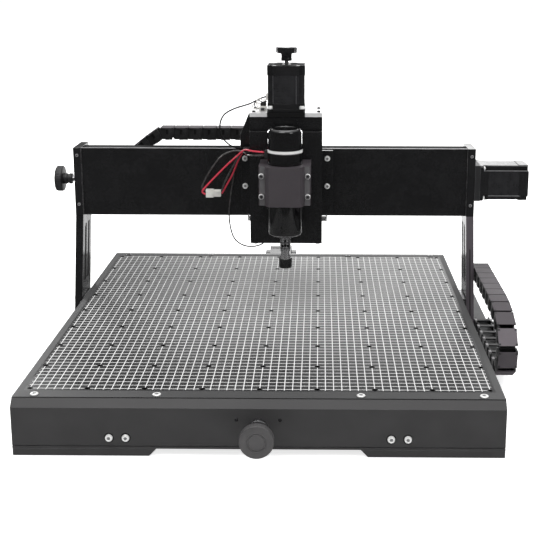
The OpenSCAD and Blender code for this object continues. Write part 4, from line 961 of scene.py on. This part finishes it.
# Where a piece below has more than one finish, the last goes on its rounded edges, paler as a painted highlight;
# the clamp's middle finish is painted light on its flanges
clamp = split("spindle_clamp", "z_slide", [
    ("clamp_block", lambda s, m: s.z > 20, [CLAMP, CLAMP_FLANGE_PAINTED_LIGHT, CLAMP_EDGE_HIGHLIGHT])], 0.7)
# The clamp's two flanges are painted paler in front, as painted light. In metres to each side of the spindle's
# axis
FLANGE_START = 0.0255
axis = at(AXIS_X, 0, 0).x
for face in clamp["clamp_block"].data.polygons:
    if face.normal.y < -0.5 and abs(face.center.x - axis) > FLANGE_START:
        face.material_index = 1
bolts = Shape()
for x in (-34, 33.5):
    for z in (177, 207.4):
        screw(bolts, placed(AXIS_X + x, -6, z, FRONT), 8, 4, 5, 12)
build("clamp_screws", bolts, [SILVER, DARK], "z_slide", ["spindle_clamp"])
split("z_carrier", "z_slide", [
    ("z_carrier_block", lambda s, m: s.x > 40, [DARK, BLACK_EDGE_HIGHLIGHT]),
    ("z_linear_bearings", lambda s, m: abs(m.x - AXIS_X) > 20, [STEEL]),
    ("z_nut", always, [BRONZE])], 0.4)
split("z_bearing_plate", "x_carriage", [
    ("z_bearing_block", lambda s, m: s.x > 40, [DARK, BLACK_EDGE_HIGHLIGHT]),
    ("z_bearings", always, [STEEL])], 0.4)
for node, body, name in (("y_nut_block", "gantry", "y_nut"), ("x_nut_block", "x_carriage", "x_nut")):
    split(node, body, [
        (name + "_housing", lambda s, m: s.z > 19, [DARK, BLACK_EDGE_HIGHLIGHT]),
        (name + "_bronze", always, [BRONZE])], 0.4)
for node, body, name in (("y_bearing_units", "bed", "y_bearing"), ("x_bearing_units", "gantry", "x_bearing")):
    split(node, body, [
        (name + "_housings", lambda s, m: s.z > 26, [DARK, BLACK_EDGE_HIGHLIGHT]),
        (name + "_races", always, [STEEL_X])], 0.3)
split("x_chain_bracket", "x_carriage", [
    ("wire_clip", lambda s, m: s.x < 12 and m.y < 105, [NYLON]),
    ("chain_ear", always, [BLACK, GREY_METAL_AND_EDGE_HIGHLIGHT])], 0.7)


# ---- Spindle top ----

cap = Shape()
spot = placed(AXIS_X, SPINDLE_Y, 0)
cap.lathe([(0, 244), (25.4, 244), (26, 244.5), (26, 268.5), (25.6, 271), (24.6, 273), (23, 274.4), (21, 275),
           (17, 275), (16.4, 274.4), (0, 274.4)], 96, 0, spot)
for k in range(3):
    a = 2 * math.pi * k / 3 + 1.57
    screw(cap, placed(AXIS_X + 20 * math.cos(a), SPINDLE_Y + 20 * math.sin(a), 274.6), 4, 0.4, 2, 2, 1)
cap.lathe([(0, 273), (5, 273), (5, 274.9), (4.2, 275), (0, 275)], 48, 0, spot)
build("spindle_top", cap, [GLOSS, SILVER], "z_slide", ["spindle_cap"], 0.25)
# The block at the spindle's side where its two wires go in
gland = Shape()
gland.box((-9, -3.6), (10, 23), (230, 242), 0)
for y, z in ((19.5, 238), (15.7, 234)):
    gland.lathe([(0, -1), (2.4, -1), (2.1, 0.35), (1.5, 0.65), (0, 0.65)], 32, 0, placed(-9, y, z, (-1, 0, 0)))
build("spindle_gland", gland, [NYLON], "z_slide", ["spindle_cap"], 0.4)


# ---- Light and floor ----

def soft_box(name, place, aim, size, power):
    """A rectangle of light at a place in metres, turned to another."""
    lamp = bpy.data.lights.new(name, "AREA")
    lamp.shape = "RECTANGLE"
    lamp.size, lamp.size_y = size
    lamp.energy = power
    obj = bpy.data.objects.new(name, lamp)
    scene.collection.objects.link(obj)
    obj.location = place
    obj.rotation_mode = "QUATERNION"
    obj.rotation_quaternion = (Vector(aim) - Vector(place)).to_track_quat("-Z", "Y")


# Name, place, aim, size and power
soft_box("key_light", (-0.7, -1.5, 2.3), (0, 0, 0.15), (1.4, 1.0), 12)
soft_box("right_key", (1.5, -1.5, 1.5), (0, -0.1, 0.15), (0.8, 0.8), 6)
for side in (-1, 1):
    soft_box("rim_light", (side * 1.15, 1.55, 0.42), (0, -0.05, 0.22), (0.22, 1.1), 16)
soft_box("top_light", (0.1, 0.1, 2.6), (0, 0.1, 0.1), (2.4, 1.6), 22)

world = bpy.data.worlds.new("studio")
scene.world = world
world.use_nodes = True
sky = world.node_tree
for n in list(sky.nodes):
    sky.nodes.remove(n)

# Dark in front, bright overhead and behind, and plain white where the camera looks straight at it
DIM, BRIGHT, SEEN = 0.10, 2.5, 1.02
link = sky.links.new
way = add_node(sky, "ShaderNodeTexCoord")
parts = add_node(sky, "ShaderNodeSeparateXYZ")
link(way.outputs["Generated"], parts.inputs[0])
wall = mapped(sky, parts.outputs["Y"], 0.87, 0.975, 0.0, 1.0, "SMOOTHSTEP")
overhead = mapped(sky, parts.outputs["Z"], 0.45, 0.90, 0.0, 0.5, "SMOOTHSTEP")
# The wall behind fades to the left above the table's height
fade = mapped(sky, parts.outputs["X"], -0.22, -0.08, -0.9, 0.0, "SMOOTHSTEP")
height = mapped(sky, parts.outputs["Z"], 0.0, 0.1, 0.0, 1.0, "SMOOTHSTEP")
behind = maths(sky, "MULTIPLY", wall, maths(sky, "MULTIPLY_ADD", fade, height, 1))
most = maths(sky, "MAXIMUM", behind, overhead)
lit = add_node(sky, "ShaderNodeBackground", Color=(1, 1, 1, 1))
link(mapped(sky, most, 0, 1, DIM, BRIGHT), lit.inputs["Strength"])
seen = add_node(sky, "ShaderNodeBackground", Color=(1, 1, 1, 1), Strength=SEEN)
pick = add_node(sky, "ShaderNodeMixShader")
link(add_node(sky, "ShaderNodeLightPath").outputs["Is Camera Ray"], pick.inputs[0])
link(lit.outputs[0], pick.inputs[1])
link(seen.outputs[0], pick.inputs[2])
link(pick.outputs[0], add_node(sky, "ShaderNodeOutputWorld").inputs["Surface"])
scene.view_settings.view_transform = "Standard"

REACH = 12
floor_shape = bpy.data.meshes.new("floor")
floor_shape.from_pydata([(-REACH, -REACH, 0), (REACH, -REACH, 0), (REACH, REACH, 0), (-REACH, REACH, 0)],
                         [], [(0, 1, 2, 3)])
floor = bpy.data.objects.new("floor", floor_shape)
floor.location.z = -0.0005
floor.visible_glossy = False
scene.collection.objects.link(floor)
PAPER = surface("floor_paper", (0.93, 0.93, 0.93), (0.95, 0.95, 0.95), (0.8, 0.95), blotch=3, grain=300,
                bump=0.02, specular=0.1)
glow = PAPER.node_tree.nodes["Principled BSDF"].inputs
glow["Emission Color"].default_value = (1, 1, 1, 1)
glow["Emission Strength"].default_value = 0.75
dress(floor, [PAPER])
